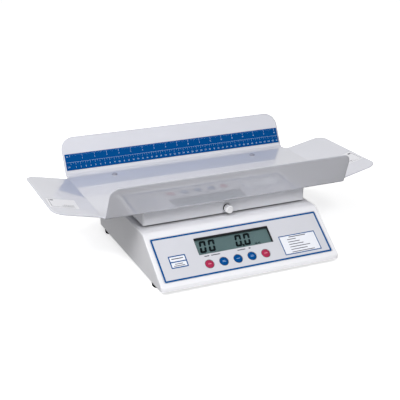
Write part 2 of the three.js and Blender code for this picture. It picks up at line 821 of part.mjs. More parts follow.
// A hexagonal nut, with its hole along Z.
function nut(acrossFlats, hole, thickness) {
  const hexagon = new THREE.Shape(circlePoints(acrossFlats / Math.sqrt(3), 0, 0, 6));
  return raised(withHoles(hexagon, circlePoints(hole)), 0, thickness);
}

function makeThumbscrew() {
  const lobes = 4 * thumb.scallops;
  const edge = Array.from({ length: lobes }, (_, k) => {
    const angle = (2 * Math.PI * k) / lobes;
    const radius = thumb.radius - thumb.scallopDepth * (1 + Math.cos(thumb.scallops * angle)) / 2;
    return new THREE.Vector2(radius * Math.cos(angle), radius * Math.sin(angle));
  });
  const knob = new THREE.ExtrudeGeometry(new THREE.Shape(edge), {
    depth: thumb.length - 2 * thumb.edge,
    bevelThickness: thumb.edge,
    bevelSize: thumb.edge,
    bevelOffset: -thumb.edge,
    bevelSegments: 2,
  }).translate(0, 0, thumb.edge);
  const reach = thumb.washerThickness + 2 * gap + platform.wall + gap + thumb.nutThickness + thumb.tipGap;
  return joined(knob, rod(thumb.shank, -reach, thumb.edge, 0, 0, smallRoundSteps));
}

function makePlatformGroup() {
  piece('platform', makePlatform(), platformWhite).position.set(0, platformCentreY, 0);
  const washerBack = platform.front - gap;
  const washer = withHoles(
    new THREE.Shape(circlePoints(thumb.washerRadius, 0, 0, roundSteps)),
    circlePoints(thumb.shank + screwSlack),
  );
  piece('thumbscrew_washer', alongFront(raised(washer, 0, thumb.washerThickness)), blackPlastic)
    .position.set(0, washerBack, thumbZ);
  piece('thumbscrew', alongFront(makeThumbscrew()), white)
    .position.set(0, washerBack - thumb.washerThickness - gap, thumbZ);
  const nutBack = platform.front + platform.wall + gap + thumb.nutThickness;
  piece('thumbscrew_nut', alongFront(nut(thumb.nutAcrossFlats, thumb.shank + screwSlack, thumb.nutThickness)), steel)
    .position.set(0, nutBack, thumbZ);
  trayScrewPlaces.forEach(([x, y], i) => {
    piece(`tray_screw_${i + 1}`, screw(trayScrew, sheet + 2 * gap + platform.wall + trayScrew.bite), blackPlastic)
      .position.set(x, platformCentreY + y, trayBottom + sheet + gap);
  });
}

// How far across and up the sheet lies at a distance past the start of a bend, and its tilt.
function bent(past, turn, radius) {
  const arc = radius * turn;
  if (past <= 0) {
    return { across: past, up: 0, tilt: 0 };
  }
  const tilt = Math.min(past / radius, turn);
  const rest = Math.max(past - arc, 0);
  return {
    across: radius * Math.sin(tilt) + rest * Math.cos(turn),
    up: radius * (1 - Math.cos(tilt)) + rest * Math.sin(turn),
    tilt,
  };
}

// A fold seen from the middle of the floor: where its bend starts, and the length of flat
// sheet from there to the panel's far edge.
function fold(at, turn, radius, length) {
  const tangent = radius * Math.tan(turn / 2);
  return { start: at - tangent, turn, radius, reach: radius * turn + length - tangent };
}

const floorMiddle = (tray.frontFold + tray.rearFold) / 2;
const folds = {
  front: fold(floorMiddle - tray.frontFold, Math.PI / 2 - tray.frontLean, foldRadius, tray.frontLength),
  rear: fold(tray.rearFold - floorMiddle, Math.PI / 2 - tray.rearLean, foldRadius, tray.rearLength),
};
const wingTangent = wingFoldRadius * Math.tan(tray.wingRise / 2);
const wing = fold(tray.halfWidth + wingTangent, tray.wingRise, wingFoldRadius, tray.wingLength);

// The sheet before it is bent: half its width at each distance from the middle of the floor.
function trayOutline() {
  const outer = wing.start + wing.reach;
  const frontEnd = -folds.front.start - folds.front.reach;
  const rearEnd = folds.rear.start + folds.rear.reach;
  return roundedPoints([
    [0, frontEnd],
    [tray.frontTopHalf, frontEnd, tray.frontCorner],
    [tray.halfWidth, tray.frontFold - floorMiddle],
    [tray.halfWidth, tray.wingFront - floorMiddle, tray.frontNotch],
    [outer, tray.wingFront - floorMiddle + tray.wingTaper, tray.wingCorner],
    [outer, tray.wingRear - floorMiddle - tray.wingTaper, tray.wingCorner],
    [tray.halfWidth, tray.wingRear - floorMiddle, tray.rearNotch],
    [tray.halfWidth, rearEnd, tray.rearCorner],
    [0, rearEnd],
  ], arcSteps, false);
}

function halfWidthAt(points, v) {
  let widest = 0;
  for (let i = 1; i < points.length; i++) {
    const [from, to] = [points[i - 1], points[i]];
    const [low, high] = [Math.min(from.y, to.y), Math.max(from.y, to.y)];
    if (v < low - weldTolerance || v > high + weldTolerance) {
      continue;
    }
    const share = high - low > weldTolerance ? (v - from.y) / (to.y - from.y) : 1;
    widest = Math.max(widest, high - low > weldTolerance ? from.x + share * (to.x - from.x) : Math.max(from.x, to.x));
  }
  return widest;
}

function bendStations({ start, turn, radius }, steps = arcSteps) {
  return Array.from({ length: steps + 1 }, (_, k) => start + (radius * turn * k) / steps);
}

// The point of the bent sheet at u across and v along the flat sheet. It adds the bend of
// the wings to the bend of the panels, and steps through the thickness along the normal.
function sheetPoint(u, v, depth) {
  const across = bent(Math.abs(u) - wing.start, wing.turn, wing.radius);
  const end = v < 0 ? folds.front : folds.rear;
  const along = bent(Math.abs(v) - end.start, end.turn, end.radius);
  const [tiltX, tiltY] = [across.tilt * Math.sign(u), along.tilt * Math.sign(v)];
  const normal = new THREE.Vector3(
    -Math.sin(tiltX) * Math.cos(tiltY),
    -Math.cos(tiltX) * Math.sin(tiltY),
    Math.cos(tiltX) * Math.cos(tiltY),
  ).normalize();
  return new THREE.Vector3(
    Math.sign(u) * (wing.start + across.across),
    Math.sign(v) * (end.start + along.across),
    across.up + along.up,
  ).addScaledVector(normal, depth);
}

function makeTray() {
  const points = trayOutline();
  const outer = wing.start + wing.reach;
  const halfStations = [...bendStations(wing, arcSteps / 2), outer];
  const stations = [...halfStations.map((u) => -u).reverse(), ...halfStations];
  const bends = [...bendStations(folds.front).map((v) => -v), ...bendStations(folds.rear)];
  const sorted = [...points.map((p) => p.y), ...bends].sort((a, b) => a - b);
  const rows = sorted.filter((v, i) => i === 0 || v - sorted[i - 1] > weldTolerance);
  const corner = (i, j, depth) => {
    const half = halfWidthAt(points, rows[j]);
    return sheetPoint(THREE.MathUtils.clamp(stations[i], -half, half), rows[j], depth).toArray();
  };
  const positions = [];
  const quad = (a, b, c, d) => positions.push(...a, ...b, ...c, ...a, ...c, ...d);
  const [lastI, lastJ] = [stations.length - 1, rows.length - 1];
  for (let j = 0; j < lastJ; j++) {
    for (let i = 0; i < lastI; i++) {
      quad(corner(i, j, sheet), corner(i + 1, j, sheet), corner(i + 1, j + 1, sheet), corner(i, j + 1, sheet));
      quad(corner(i, j, 0), corner(i, j + 1, 0), corner(i + 1, j + 1, 0), corner(i + 1, j, 0));
    }
    quad(corner(0, j, 0), corner(0, j, sheet), corner(0, j + 1, sheet), corner(0, j + 1, 0));
    quad(corner(lastI, j, 0), corner(lastI, j + 1, 0), corner(lastI, j + 1, sheet), corner(lastI, j, sheet));
  }
  for (let i = 0; i < lastI; i++) {
    quad(corner(i, 0, 0), corner(i + 1, 0, 0), corner(i + 1, 0, sheet), corner(i, 0, sheet));
    quad(corner(i, lastJ, 0), corner(i, lastJ, sheet), corner(i + 1, lastJ, sheet), corner(i + 1, lastJ, 0));
  }
  const geometry = new THREE.BufferGeometry();
  geometry.setAttribute('position', new THREE.Float32BufferAttribute(positions, 3));
  const holes = trayScrewPlaces.map(([x, y]) => (
    rod(trayScrew.shank + screwSlack, -overrun, sheet + overrun, x, y + platformCentreY - floorMiddle, smallRoundSteps)
  ));
  return cut(geometry, ...holes);
}

function makeTrayGroup() {
  piece('tray', makeTray(), translucent).position.set(0, floorMiddle, trayBottom);
  const foot = new THREE.Group();
  foot.position.set(0, tray.rearFold, trayBottom);
  foot.rotation.x = Math.PI / 2 - tray.rearLean;
  bench.add(foot);
  const low = sheet + gap;
  const label = raised(rectangle(strip.length, strip.width, strip.corner, arcSteps / 2), low, low + strip.thickness);
  piece('measuring_strip', label, blue, foot).position.y = strip.up + strip.width / 2;
}

function makeMainBoard() {
  const low = panTop + mainBoard.standoff + gap;
  const top = low + mainBoard.thickness;
  const plate = block(mainBoard.width, mainBoard.depth, low, top);
  const chips = [-1, 1].map((side) => (
    block(mainBoard.chipWidth, mainBoard.chipWidth, top - weld, top + mainBoard.chipHeight, 0, side * mainBoard.chipWidth)
  ));
  const plug = block(mainBoard.plugWidth, mainBoard.plugDepth, top - weld, top + mainBoard.plugHeight,
    mainBoard.plugX, mainBoard.plugFromEdge - mainBoard.depth / 2);
  return joined(plate, ...chips, plug);
}

// A flat cable from the back of the display board to the plug on the main board, drawn in
// Y and Z as a band on both sides of one smooth curve.
function makeRibbon() {
  const board = new THREE.Vector3(0, ribbon.up, boardBottom - gap).applyMatrix4(consoleMatrix);
  const into = new THREE.Vector3(0, 0, -ribbon.slack).transformDirection(consoleMatrix).multiplyScalar(ribbon.slack);
  const start = new THREE.Vector2(board.y, board.z);
  const end = new THREE.Vector2(
    mainBoardY + mainBoard.plugFromEdge - mainBoard.depth / 2,
    panTop + mainBoard.standoff + gap + mainBoard.thickness + mainBoard.plugHeight + gap,
  );
  const curve = new THREE.CubicBezierCurve(
    start,
    start.clone().add(new THREE.Vector2(into.y, into.z)),
    end.clone().add(new THREE.Vector2(0, ribbon.slack)),
    end,
  );
  const side = (sign) => Array.from({ length: ribbon.steps + 1 }, (_, k) => {
    const tangent = curve.getTangent(k / ribbon.steps);
    const across = new THREE.Vector2(-tangent.y, tangent.x).multiplyScalar((sign * ribbon.thickness) / 2);
    return curve.getPoint(k / ribbon.steps).add(across);
  });
  const band = new THREE.Shape([...side(1), ...side(-1).reverse()]);
  return alongX(raised(band, -ribbon.width / 2, ribbon.width / 2));
}

function makeInlet() {
  const back = housing.wall + gap;
  const body = block(inlet.bodyWidth, inlet.bodyHeight, -back - inlet.bodyDepth, -back);
  const nose = rod(inlet.noseRadius, -back - weld, inlet.proud);
  const bore = rod(inlet.boreRadius, inlet.proud - inlet.boreDepth, inlet.proud + overrun);
  const pin = rod(inlet.pinRadius, inlet.proud - inlet.boreDepth - weld, inlet.proud - inlet.nutThickness, 0, 0, smallRoundSteps);
  return joined(cut(joined(body, nose), bore), pin);
}

// Turns what is raised along +Z so that it runs along +Y.
function alongRear(geometry) {
  return geometry.rotateX(-Math.PI / 2);
}

function makeCell() {
  return alongRear(turned([
    [0, 0],
    [cell.radius - cell.edge, 0],
    [cell.radius, cell.edge],
    [cell.radius, cell.length - cell.edge],
    [cell.radius - cell.edge, cell.length],
    [cell.capRadius, cell.length],
    [cell.capRadius, cell.length + cell.capHeight],
    [0, cell.length + cell.capHeight],
  ], smallRoundSteps));
}

function makeHolder() {
  const [low, high] = [panTop + gap, holderRoof + holder.wall];
  const outside = block(holderWidth, holderDepth, low, high);
  const inside = block(holderWidth - 2 * holder.wall, holderDepth - 2 * holder.wall, low - overrun, holderRoof);
  const brim = block(holderWidth + 2 * holder.flange, holderDepth, low, low + holder.flangeThickness);
  return cut(joined(outside, brim), inside);
}

function makeContact() {
  const width = cell.columns * cell.spacing - 2 * gap;
  const plate = block(width, contact.thickness, 0, contact.height);
  const middleZ = contact.height / 2;
  const springs = Array.from({ length: cell.columns }, (_, i) => {
    const x = (i - (cell.columns - 1) / 2) * cell.spacing;
    return alongRear(turned([
      [0, -weld],
      [contact.springRadius, -weld],
      [contact.springTip, contact.springLength],
      [0, contact.springLength],
    ], smallRoundSteps)).translate(x, contact.thickness / 2, middleZ);
  });
  return joined(plate, ...springs);
}

function makeBatteryGroup() {
  const [centreX, centreY] = [holderX, holderY];
  piece('battery_holder', makeHolder(), blackPlastic).position.set(centreX, centreY, 0);
  const axisZ = cellFloor + cell.radius;
  const pitchY = cell.length + cell.capHeight;
  for (let row = 0; row < cell.rows; row++) {
    for (let column = 0; column < cell.columns; column++) {
      const x = centreX + (column - (cell.columns - 1) / 2) * cell.spacing;
      const y = centreY + (row - cell.rows / 2) * pitchY + row * gap;
      piece(`battery_${row * cell.columns + column + 1}`, makeCell(), cellJacket).position.set(x, y, axisZ);
    }
  }
  const plateZ = axisZ - contact.height / 2;
  const wallY = coverDepth / 2 - gap - contact.thickness / 2;
  piece('contact_plate_front', makeContact(), steel).position.set(centreX, centreY - wallY, plateZ);
  const rearPlate = piece('contact_plate_rear', makeContact(), steel);
  rearPlate.position.set(centreX, centreY + wallY, plateZ);
  rearPlate.rotation.z = Math.PI;
  piece('battery_cover', makeCover(), blackPlastic).position.set(centreX, centreY, 0);
  piece('battery_cover_screw', screw(caseScrew, cover.thickness + pan.thickness + 2 * gap).rotateX(Math.PI), zincSteel)
    .position.set(centreX, coverScrewY, panBottom - 2 * gap - cover.thickness);
}

// The cover closes the opening in the bottom plate, with an ear under the plate for its screw.
function makeCover() {
  const [low, high] = [panBottom - gap - cover.thickness, panBottom + cover.thickness - gap];
  const lid = block(coverWidth, coverDepth, low, high);
  const ear = raised(withHoles(
    rectangle(cover.earWidth, 2 * cover.earReach, cover.earCorner),
    circlePoints(caseScrew.shank + screwSlack, 0, -cover.earReach / 2),
  ), low, panBottom - gap).translate(0, -coverDepth / 2, 0);
  return joined(lid, ear);
}

function makeElectronics() {
  piece('main_board', makeMainBoard(), circuitGreen).position.set(mainBoardX, mainBoardY, 0);
  piece('ribbon_cable', makeRibbon(), greyPrint).position.x = mainBoardX + mainBoard.plugX;
  piece('dc_inlet', alongRear(makeInlet()), blackPlastic).position.set(inletX, housing.depth, inlet.z);
  const inletNut = alongRear(nut(inlet.nutAcrossFlats, inlet.noseRadius + gap, inlet.nutThickness));
  piece('dc_inlet_nut', inletNut, steel).position.set(inletX, housing.depth + gap, inlet.z);
  makeBatteryGroup();
}

makeBase();
makeConsole();
makeElectronics();
makeLoadPath();
makePlatformGroup();
makeTrayGroup();

// The middle of the scale from front to rear: from the lip to the top of the rear panel.
const rearReach = tray.rearFold + (tray.rearLength * Math.sin(tray.rearLean));
bench.position.set(0, -rearReach / 2, foot.height);
const scale = new THREE.Group();
scale.add(bench);

export default scale;
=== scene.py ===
"""A digital baby weighing scale: the finished looks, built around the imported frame.

Sizes are in millimetres and turn into metres when a mesh is written. The bench is where the
pieces are drawn: its origin is the middle of the housing's front bottom edge, +Y to the rear.
"""
from __future__ import annotations

import json
import logging
import math
from collections.abc import Sequence
from dataclasses import dataclass, field
from enum import Enum
from typing import ClassVar

import bpy
import bmesh
import numpy as np
from mathutils import Matrix, Vector

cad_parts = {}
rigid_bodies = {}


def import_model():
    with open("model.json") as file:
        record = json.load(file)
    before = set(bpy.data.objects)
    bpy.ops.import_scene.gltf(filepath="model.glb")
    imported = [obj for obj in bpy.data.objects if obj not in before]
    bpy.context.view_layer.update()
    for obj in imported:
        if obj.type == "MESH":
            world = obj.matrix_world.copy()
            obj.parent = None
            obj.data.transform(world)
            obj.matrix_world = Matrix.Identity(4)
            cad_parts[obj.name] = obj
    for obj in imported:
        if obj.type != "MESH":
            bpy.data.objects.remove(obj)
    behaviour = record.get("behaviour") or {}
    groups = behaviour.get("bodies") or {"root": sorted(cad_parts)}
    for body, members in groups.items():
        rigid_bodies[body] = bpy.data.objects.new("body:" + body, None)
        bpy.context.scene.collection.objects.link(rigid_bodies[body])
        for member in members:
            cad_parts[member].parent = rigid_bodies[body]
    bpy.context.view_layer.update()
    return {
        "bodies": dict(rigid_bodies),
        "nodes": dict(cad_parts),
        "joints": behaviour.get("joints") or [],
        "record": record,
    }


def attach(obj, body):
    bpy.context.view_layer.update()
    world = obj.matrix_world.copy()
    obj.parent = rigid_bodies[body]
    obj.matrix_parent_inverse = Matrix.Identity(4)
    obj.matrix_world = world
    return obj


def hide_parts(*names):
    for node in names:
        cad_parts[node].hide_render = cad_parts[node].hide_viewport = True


LOG = logging.getLogger("scale")
MM = 0.001
QUARTER = math.pi / 2
ARC = 10  # spaces on a rounded corner, and fewer on a small one
SMALL_ARC = 4
ROUND = 64  # points round a circle, and fewer for small parts and for screw holes
SMALL_ROUND = 32
HOLE_ROUND = 24
GAP = 0.3  # left between two pieces that touch
HAIR = 0.02  # left where a whole gap would show
MERGE = 0.0005  # points nearer than this are one
SLIVER = 0.0002  # edges shorter than this are dropped
SAME = 1e-6  # points of an outline nearer than this are one
OVERRUN = 1  # how far a cutting tool reaches past what it cuts, where no size says
PRINT = 0.05  # thickness of ink
LETTER_GAP = 0.16  # between two letters, as a share of their height
WAVE_TURN = math.pi / 10  # distance over which Blender's wave repeats, at a scale of 1
Faces = list[tuple[int, ...]]
Pair = tuple[float, float]
Point = tuple[float, float, float]
Edges = tuple[float, float, float, float]
Colour = tuple[float, float, float]
Socket = bpy.types.NodeSocket


def linear(red: float, green: float, blue: float) -> Colour:
    """Gives the linear colour of a screen colour, by the standard curve of screens.

    Args:
        red: Red part, from 0 to 255.
        green: Green part.
        blue: Blue part.

    Returns:
        The three linear parts.
    """
    parts = np.array([red, green, blue]) / 255
    curve = np.where(parts <= 0.04045, parts / 12.92, ((parts + 0.055) / 1.055) ** 2.4)
    return tuple(float(part) for part in curve)


# Meshes


@dataclass
class Mesh:
    """Points in millimetres and the faces between them."""

    points: np.ndarray
    faces: Faces

    def placed(self, frame: "Frame") -> "Mesh":
        """Gives the same mesh, moved from a frame's own axes to the bench's."""
        return Mesh(frame.place(self.points), self.faces)

    def shifted(self, x: float, y: float, z: float = 0) -> "Mesh":
        """Gives the same mesh, moved by a distance along each axis."""
        return Mesh(self.points + np.array([x, y, z]), self.faces)


@dataclass(frozen=True)
class Frame:
    """A place on the bench with its own axes: upright and facing the front, unless given."""

    origin: Point = (0, 0, 0)
    across: Point = (1, 0, 0)
    up: Point = (0, 0, 1)
    out: Point = (0, -1, 0)

    def place(self, points: np.ndarray) -> np.ndarray:
        """Gives the bench points: the origin plus each part times its axis."""
        return np.array(self.origin) + points @ np.array([self.across, self.up, self.out])


def joined(meshes: Sequence[Mesh]) -> Mesh:
    """Puts several meshes in one, each with its own points.

    Args:
        meshes: The meshes.

    Returns:
        One mesh whose faces are counted on from the points before them.
    """
    faces: Faces = []
    base = 0
    for mesh in meshes:
        faces += [tuple(index + base for index in face) for face in mesh.faces]
        base += len(mesh.points)
    return Mesh(np.concatenate([mesh.points for mesh in meshes]), faces)


def grid_faces(rows: int, columns: int, closed: bool = False, looped: bool = False) -> Faces:
    """Gives the four-sided faces of a grid of points counted row by row.

    Args:
        rows: Rows of points.
        columns: Points in a row.
        closed: Whether each row closes on itself.
        looped: Whether the last row joins the first.

    Returns:
        The faces, facing out where rows run round to the left and go up.
    """
    row, column = np.meshgrid(
        np.arange(rows if looped else rows - 1),
        np.arange(columns if closed else columns - 1),
        indexing="ij",
    )
    after_row, after = (row + 1) % rows, (column + 1) % columns
    corners = ((row, column), (row, after), (after_row, after), (after_row, column))
    faces = np.stack([r * columns + c for r, c in corners], axis=-1)
    return [tuple(face) for face in faces.reshape(-1, 4).tolist()]


def round_points(angle: np.ndarray, radius: float | np.ndarray = 1) -> np.ndarray:
    """Gives the points at a radius and an angle: radius times cosine, and radius times sine."""
    return np.stack([radius * np.cos(angle), radius * np.sin(angle)], axis=-1)


def rounded(corners: Sequence[tuple[float, ...]], steps: int = ARC) -> np.ndarray:
    """Rounds the corners of an outline that runs to the left round its inside.

    Each corner (x, y, radius) turns into an arc that touches both of its edges. The arc's
    middle lies on the line that halves the corner, at the radius over the sine of half of it.

    Args:
        corners: The corners, each with its radius.
        steps: Spaces on each arc.

    Returns:
        The outline's points, one row each.
    """
    runs = []
    for i, (x, y, *rest) in enumerate(corners):
        radius = rest[0] if rest else 0
        corner = np.array([x, y], float)
        if radius <= 0:
            runs.append(corner[None])
            continue
        back = np.array(corners[i - 1][:2]) - corner
        ahead = np.array(corners[(i + 1) % len(corners)][:2]) - corner
        back, ahead = back / np.linalg.norm(back), ahead / np.linalg.norm(ahead)
        half = math.acos(float(np.clip(back @ ahead, -1, 1))) / 2
        halving = (back + ahead) / np.linalg.norm(back + ahead)
        centre = corner + halving * radius / math.sin(half)
        start = corner + back * radius / math.tan(half) - centre
        side = math.copysign(1, ahead[0] * back[1] - ahead[1] * back[0])
        cosine, sine = round_points(np.linspace(0, side * (math.pi - 2 * half), steps + 1)).T
        right, up = start
        turn = np.stack([right * cosine - up * sine, right * sine + up * cosine], axis=-1)
        runs.append(centre + turn)
    return np.concatenate(runs)


def oblong(
    left: float, bottom: float, right: float, top: float, radius: float = 0, steps: int = ARC,
) -> np.ndarray:
    """Gives the outline between four edges, its corners rounded by one radius."""
    corners = ((left, bottom), (right, bottom), (right, top), (left, top))
    return rounded([(x, y, radius) for x, y in corners], steps)


def rectangle(width: float, depth: float, radius: float = 0, steps: int = ARC) -> np.ndarray:
    """Gives a rectangle's outline round the origin, its corners rounded by one radius."""
    return oblong(-width / 2, -depth / 2, width / 2, depth / 2, radius, steps)


def circle(radius: float, steps: int = ROUND) -> np.ndarray:
    """Gives a circle's outline round the origin."""
    return round_points(np.linspace(0, 2 * math.pi, steps, endpoint=False), radius)


def inset(outline: np.ndarray, distance: float) -> np.ndarray:
    """Moves an outline inwards.

    Each point moves along the sum of the two inward normals beside it, over one plus their
    product, so that every edge ends up the same distance in.

    Args:
        outline: The points, running to the left round the inside.
        distance: How far in.

    Returns:
        The inner outline, point for point.
    """
    ahead = np.roll(outline, -1, axis=0) - outline
    ahead = ahead / np.linalg.norm(ahead, axis=1, keepdims=True)
    normal = np.stack([-ahead[:, 1], ahead[:, 0]], axis=-1)
    before = np.roll(normal, 1, axis=0)
    share = 1 + np.sum(normal * before, axis=1, keepdims=True)
    return outline + distance * (normal + before) / share


def at_height(outline: np.ndarray, z: float) -> np.ndarray:
    """Gives a flat outline's points at one height."""
    return np.column_stack([outline, np.full(len(outline), z)])


def slab(outline: np.ndarray, profile: Sequence[Pair]) -> Mesh:
    """Carries a profile round an outline and closes both ends with flat caps.

    Args:
        outline: The outline, running to the left round its inside.
        profile: Pairs of (inset, height) from the lower cap, outside round, to the upper cap.

    Returns:
        The closed mesh.
    """
    count = len(outline)
    rings = [at_height(inset(outline, far), z) for far, z in profile]
    faces = grid_faces(len(rings), count, closed=True)
    faces.append(tuple(range(count - 1, -1, -1)))
    faces.append(tuple(range((len(rings) - 1) * count, len(rings) * count)))
    return Mesh(np.concatenate(rings), faces)


def plate(outline: np.ndarray, low: float, high: float, far: float = 0) -> Mesh:
    """Raises an outline straight up from low to high, a distance in from its edge."""
    return slab(outline, [(far, low), (far, high)])


def edged(
    low: float, high: float, edge: float, lower: float | None = None, steps: int = 5,
) -> list[Pair]:
    """Gives a slab's profile with a quarter circle at its lower and upper edge.

    Args:
        low: Lower face.
        high: Upper face.
        edge: Radius of the upper edge.
        lower: Radius of the lower edge, or the upper one's where none is given.
        steps: Spaces on each quarter circle.

    Returns:
        The pairs of (inset, height).
    """
    lower = edge if lower is None else lower
    turn = np.linspace(0, QUARTER, steps + 1)
    up = [(lower * (1 - math.sin(a)), low + lower * (1 - math.cos(a))) for a in turn]
    over = [(edge * (1 - math.cos(a)), high - edge * (1 - math.sin(a))) for a in turn]
    return (up if lower > 0 else [(0, low)]) + (over if edge > 0 else [(0, high)])


def band(outline: np.ndarray, width: float, low: float, high: float) -> Mesh:
    """Gives a flat line of one width along the inside of an outline, as a closed ring.

    Args:
        outline: The outline, running to the left round its inside.
        width: The line's width.
        low: Lower face.
        high: Upper face.

    Returns:
        The closed mesh.
    """
    inner = inset(outline, width)
    rings = ((inner, low), (outline, low), (outline, high), (inner, high))
    points = np.concatenate([at_height(*ring) for ring in rings])
    return Mesh(points, grid_faces(len(rings), len(outline), closed=True, looped=True))


def prisms(shapes: np.ndarray, low: float, high: float) -> Mesh:
    """Raises many flat shapes with the same count of corners at once.

    Args:
        shapes: Corners, as shape by corner by (x, y), each running to the left.
        low: Lower face.
        high: Upper face.

    Returns:
        One mesh with a closed prism for each shape.
    """
    many, sides, _ = shapes.shape
    points = np.empty((many, 2, sides, 3))
    points[..., :2] = shapes[:, None]
    points[..., 2] = np.array([low, high])[None, :, None]
    start = np.arange(many) * 2 * sides
    corner = np.arange(sides)
    after = (corner + 1) % sides
    walls = np.stack([corner, after, after + sides, corner + sides], axis=-1)
    faces = (start[:, None, None] + walls).reshape(-1, 4).tolist()
    faces += (start[:, None] + corner[::-1]).tolist()
    faces += (start[:, None] + sides + corner).tolist()
    return Mesh(points.reshape(-1, 3), [tuple(face) for face in faces])


def bars(boxes: Sequence[Edges], low: float, high: float) -> Mesh:
    """Raises upright rectangles given as (left, bottom, right, top).

    Args:
        boxes: Each rectangle's edges.
        low: Lower face.
        high: Upper face.

    Returns:
        One mesh for all of them.
    """
    x0, y0, x1, y1 = np.array(boxes, float).T
    corners = ((x0, y0), (x1, y0), (x1, y1), (x0, y1))
    return prisms(np.stack([np.stack(corner, -1) for corner in corners], axis=1), low, high)


def turned(profile: Sequence[Pair], steps: int = ROUND, closed: bool = False) -> Mesh:
    """Turns a profile round the Z axis.

    Args:
        profile: Pairs of (radius, height), from the lower end, outside round, to the upper.
        steps: Points round the axis.
        closed: Whether the profile closes on itself, as a ring's does.

    Returns:
        The mesh. Points on the axis lie on each other until they are merged.
    """
    rings = [at_height(circle(radius, steps), z) for radius, z in profile]
    return Mesh(np.concatenate(rings), grid_faces(len(rings), steps, closed=True, looped=closed))


def threaded(
    radius: float, depth: float, pitch: float, low: float, high: float, steps: int,
) -> list[Pair]:
    """Gives a thread's profile from its tip: its radius rises and falls once in each pitch.

    Args:
        radius: Radius of the thread's crest.
        depth: How deep it is cut.
        pitch: Length of one turn.
        low: Height of its tip.
        high: Height where it ends.
        steps: Points along it.

    Returns:
        Pairs of (radius, height).
    """
    z = np.linspace(low, high, steps)
    wave = radius - depth * (0.5 + 0.5 * np.cos(2 * math.pi * z / pitch))
    return [(0, z[0]), *zip(wave, z)]


def in_scene(name: str, data: bpy.types.ID) -> bpy.types.Object:
    """Makes an object of a mesh, a curve, a lamp or a camera, and links it to the scene.

    Args:
        name: The object's name.
        data: What it shows.

    Returns:
        The object.
    """
    thing = bpy.data.objects.new(name, data)
    bpy.context.scene.collection.objects.link(thing)
    return thing


def taken(thing: bpy.types.Object, graph: bpy.types.Depsgraph) -> Mesh:
    """Reads an object's mesh, as its modifiers or its lettering leave it.

    Args:
        thing: The object.
        graph: The graph that has worked it out.

    Returns:
        Its points and faces.
    """
    data = bpy.data.meshes.new_from_object(thing.evaluated_get(graph))
    points = np.empty(len(data.vertices) * 3)
    data.vertices.foreach_get("co", points)
    mesh = Mesh(points.reshape(-1, 3), [tuple(face.vertices) for face in data.polygons])
    bpy.data.meshes.remove(data)
    return mesh


def discard(thing: bpy.types.Object) -> None:
    """Removes an object, and its own mesh or curve.

    Args:
        thing: The object.
    """
    own = thing.data
    bpy.data.objects.remove(thing)
    (bpy.data.curves if isinstance(own, bpy.types.Curve) else bpy.data.meshes).remove(own)


def glyphs(letters: str, thickness: float) -> dict[str, Mesh]:
    """Makes each letter once, one unit high, its left end at x = 0 and its middle at y = 0.

    Args:
        letters: The letters needed.
        thickness: How thick they are.

    Returns:
        A mesh for each letter, from Blender's own lettering.
    """
    things = {}
    for letter in sorted(set(letters)):
        curve = bpy.data.curves.new("letter", "FONT")
        curve.body, curve.resolution_u, curve.extrude = letter, 2, thickness / 2
        things[letter] = in_scene("letter", curve)
    bpy.context.view_layer.update()
    graph = bpy.context.evaluated_depsgraph_get()
    made = {letter: taken(thing, graph) for letter, thing in things.items()}
    for letter, mesh in made.items():
        low, high = mesh.points.min(0), mesh.points.max(0)
        flat = mesh.points[:, :2] - (low[0], (low[1] + high[1]) / 2)
        mesh.points[:, :2] = flat / (high[1] - low[1])
        discard(things[letter])
    return made


def lettering(words: Sequence[tuple[str, float, float, float]], low: float, high: float) -> Mesh:
    """Sets plain numerals or capitals, each word centred on a place.

    Args:
        words: For each, what it says, its middle x and y, and the height of its letters.
        low: Lower face.
        high: Upper face.

    Returns:
        One mesh for all of them.
    """
    made = glyphs("".join(word for word, *_ in words), high - low)
    set_out = []
    for word, x, y, size in words:
        widths = np.array([made[letter].points[:, 0].max() for letter in word]) * size
        starts = np.concatenate([[0], np.cumsum(widths + LETTER_GAP * size)[:-1]])
        middle = (starts[-1] + widths[-1]) / 2
        for letter, start in zip(word, starts):
            place = (x + start - middle, y, (low + high) / 2)
            points = made[letter].points * (size, size, 1) + place
            set_out.append(Mesh(points, made[letter].faces))
    return joined(set_out)


class Cut(Enum):
    """How one solid changes another."""

    AWAY = "DIFFERENCE"
    COMMON = "INTERSECT"
    ADD = "UNION"


def raw_object(name: str, mesh: Mesh) -> bpy.types.Object:
    """Makes an object of a mesh, its doubles merged and its faces turned out.

    Args:
        name: The object's name.
        mesh: The mesh.

    Returns:
        The object, still in millimetres.
    """
    data = bpy.data.meshes.new(name)
    data.from_pydata(mesh.points, [], mesh.faces)
    work = bmesh.new()
    work.from_mesh(data)
    bmesh.ops.remove_doubles(work, verts=work.verts, dist=MERGE)
    bmesh.ops.dissolve_degenerate(work, edges=work.edges, dist=SLIVER)
    bmesh.ops.recalc_face_normals(work, faces=work.faces)
    work.to_mesh(data)
    work.free()
    return in_scene(name, data)


def carve(mesh: Mesh, cuts: Sequence[tuple[Cut, Mesh]]) -> Mesh:
    """Changes a solid by others, one after the other.

    Args:
        mesh: The solid.
        cuts: What each other solid does to it.

    Returns:
        The changed solid.
    """
    base = raw_object("carved", mesh)
    tools = [raw_object("tool", other) for _, other in cuts]
    for (how, _), tool in zip(cuts, tools):
        step = base.modifiers.new("cut", "BOOLEAN")
        step.operation, step.object, step.solver = how.value, tool, "EXACT"
    bpy.context.view_layer.update()
    result = taken(base, bpy.context.evaluated_depsgraph_get())
    for thing in (base, *tools):
        discard(thing)
    return result


def drill(
    radius: float, low: float, high: float, x: float = 0, y: float = 0, steps: int = ROUND,
) -> Mesh:
    """Gives a round cutting tool, raised from low to high at a place."""
    return plate(circle(radius, steps), low, high).shifted(x, y)


# Finishes


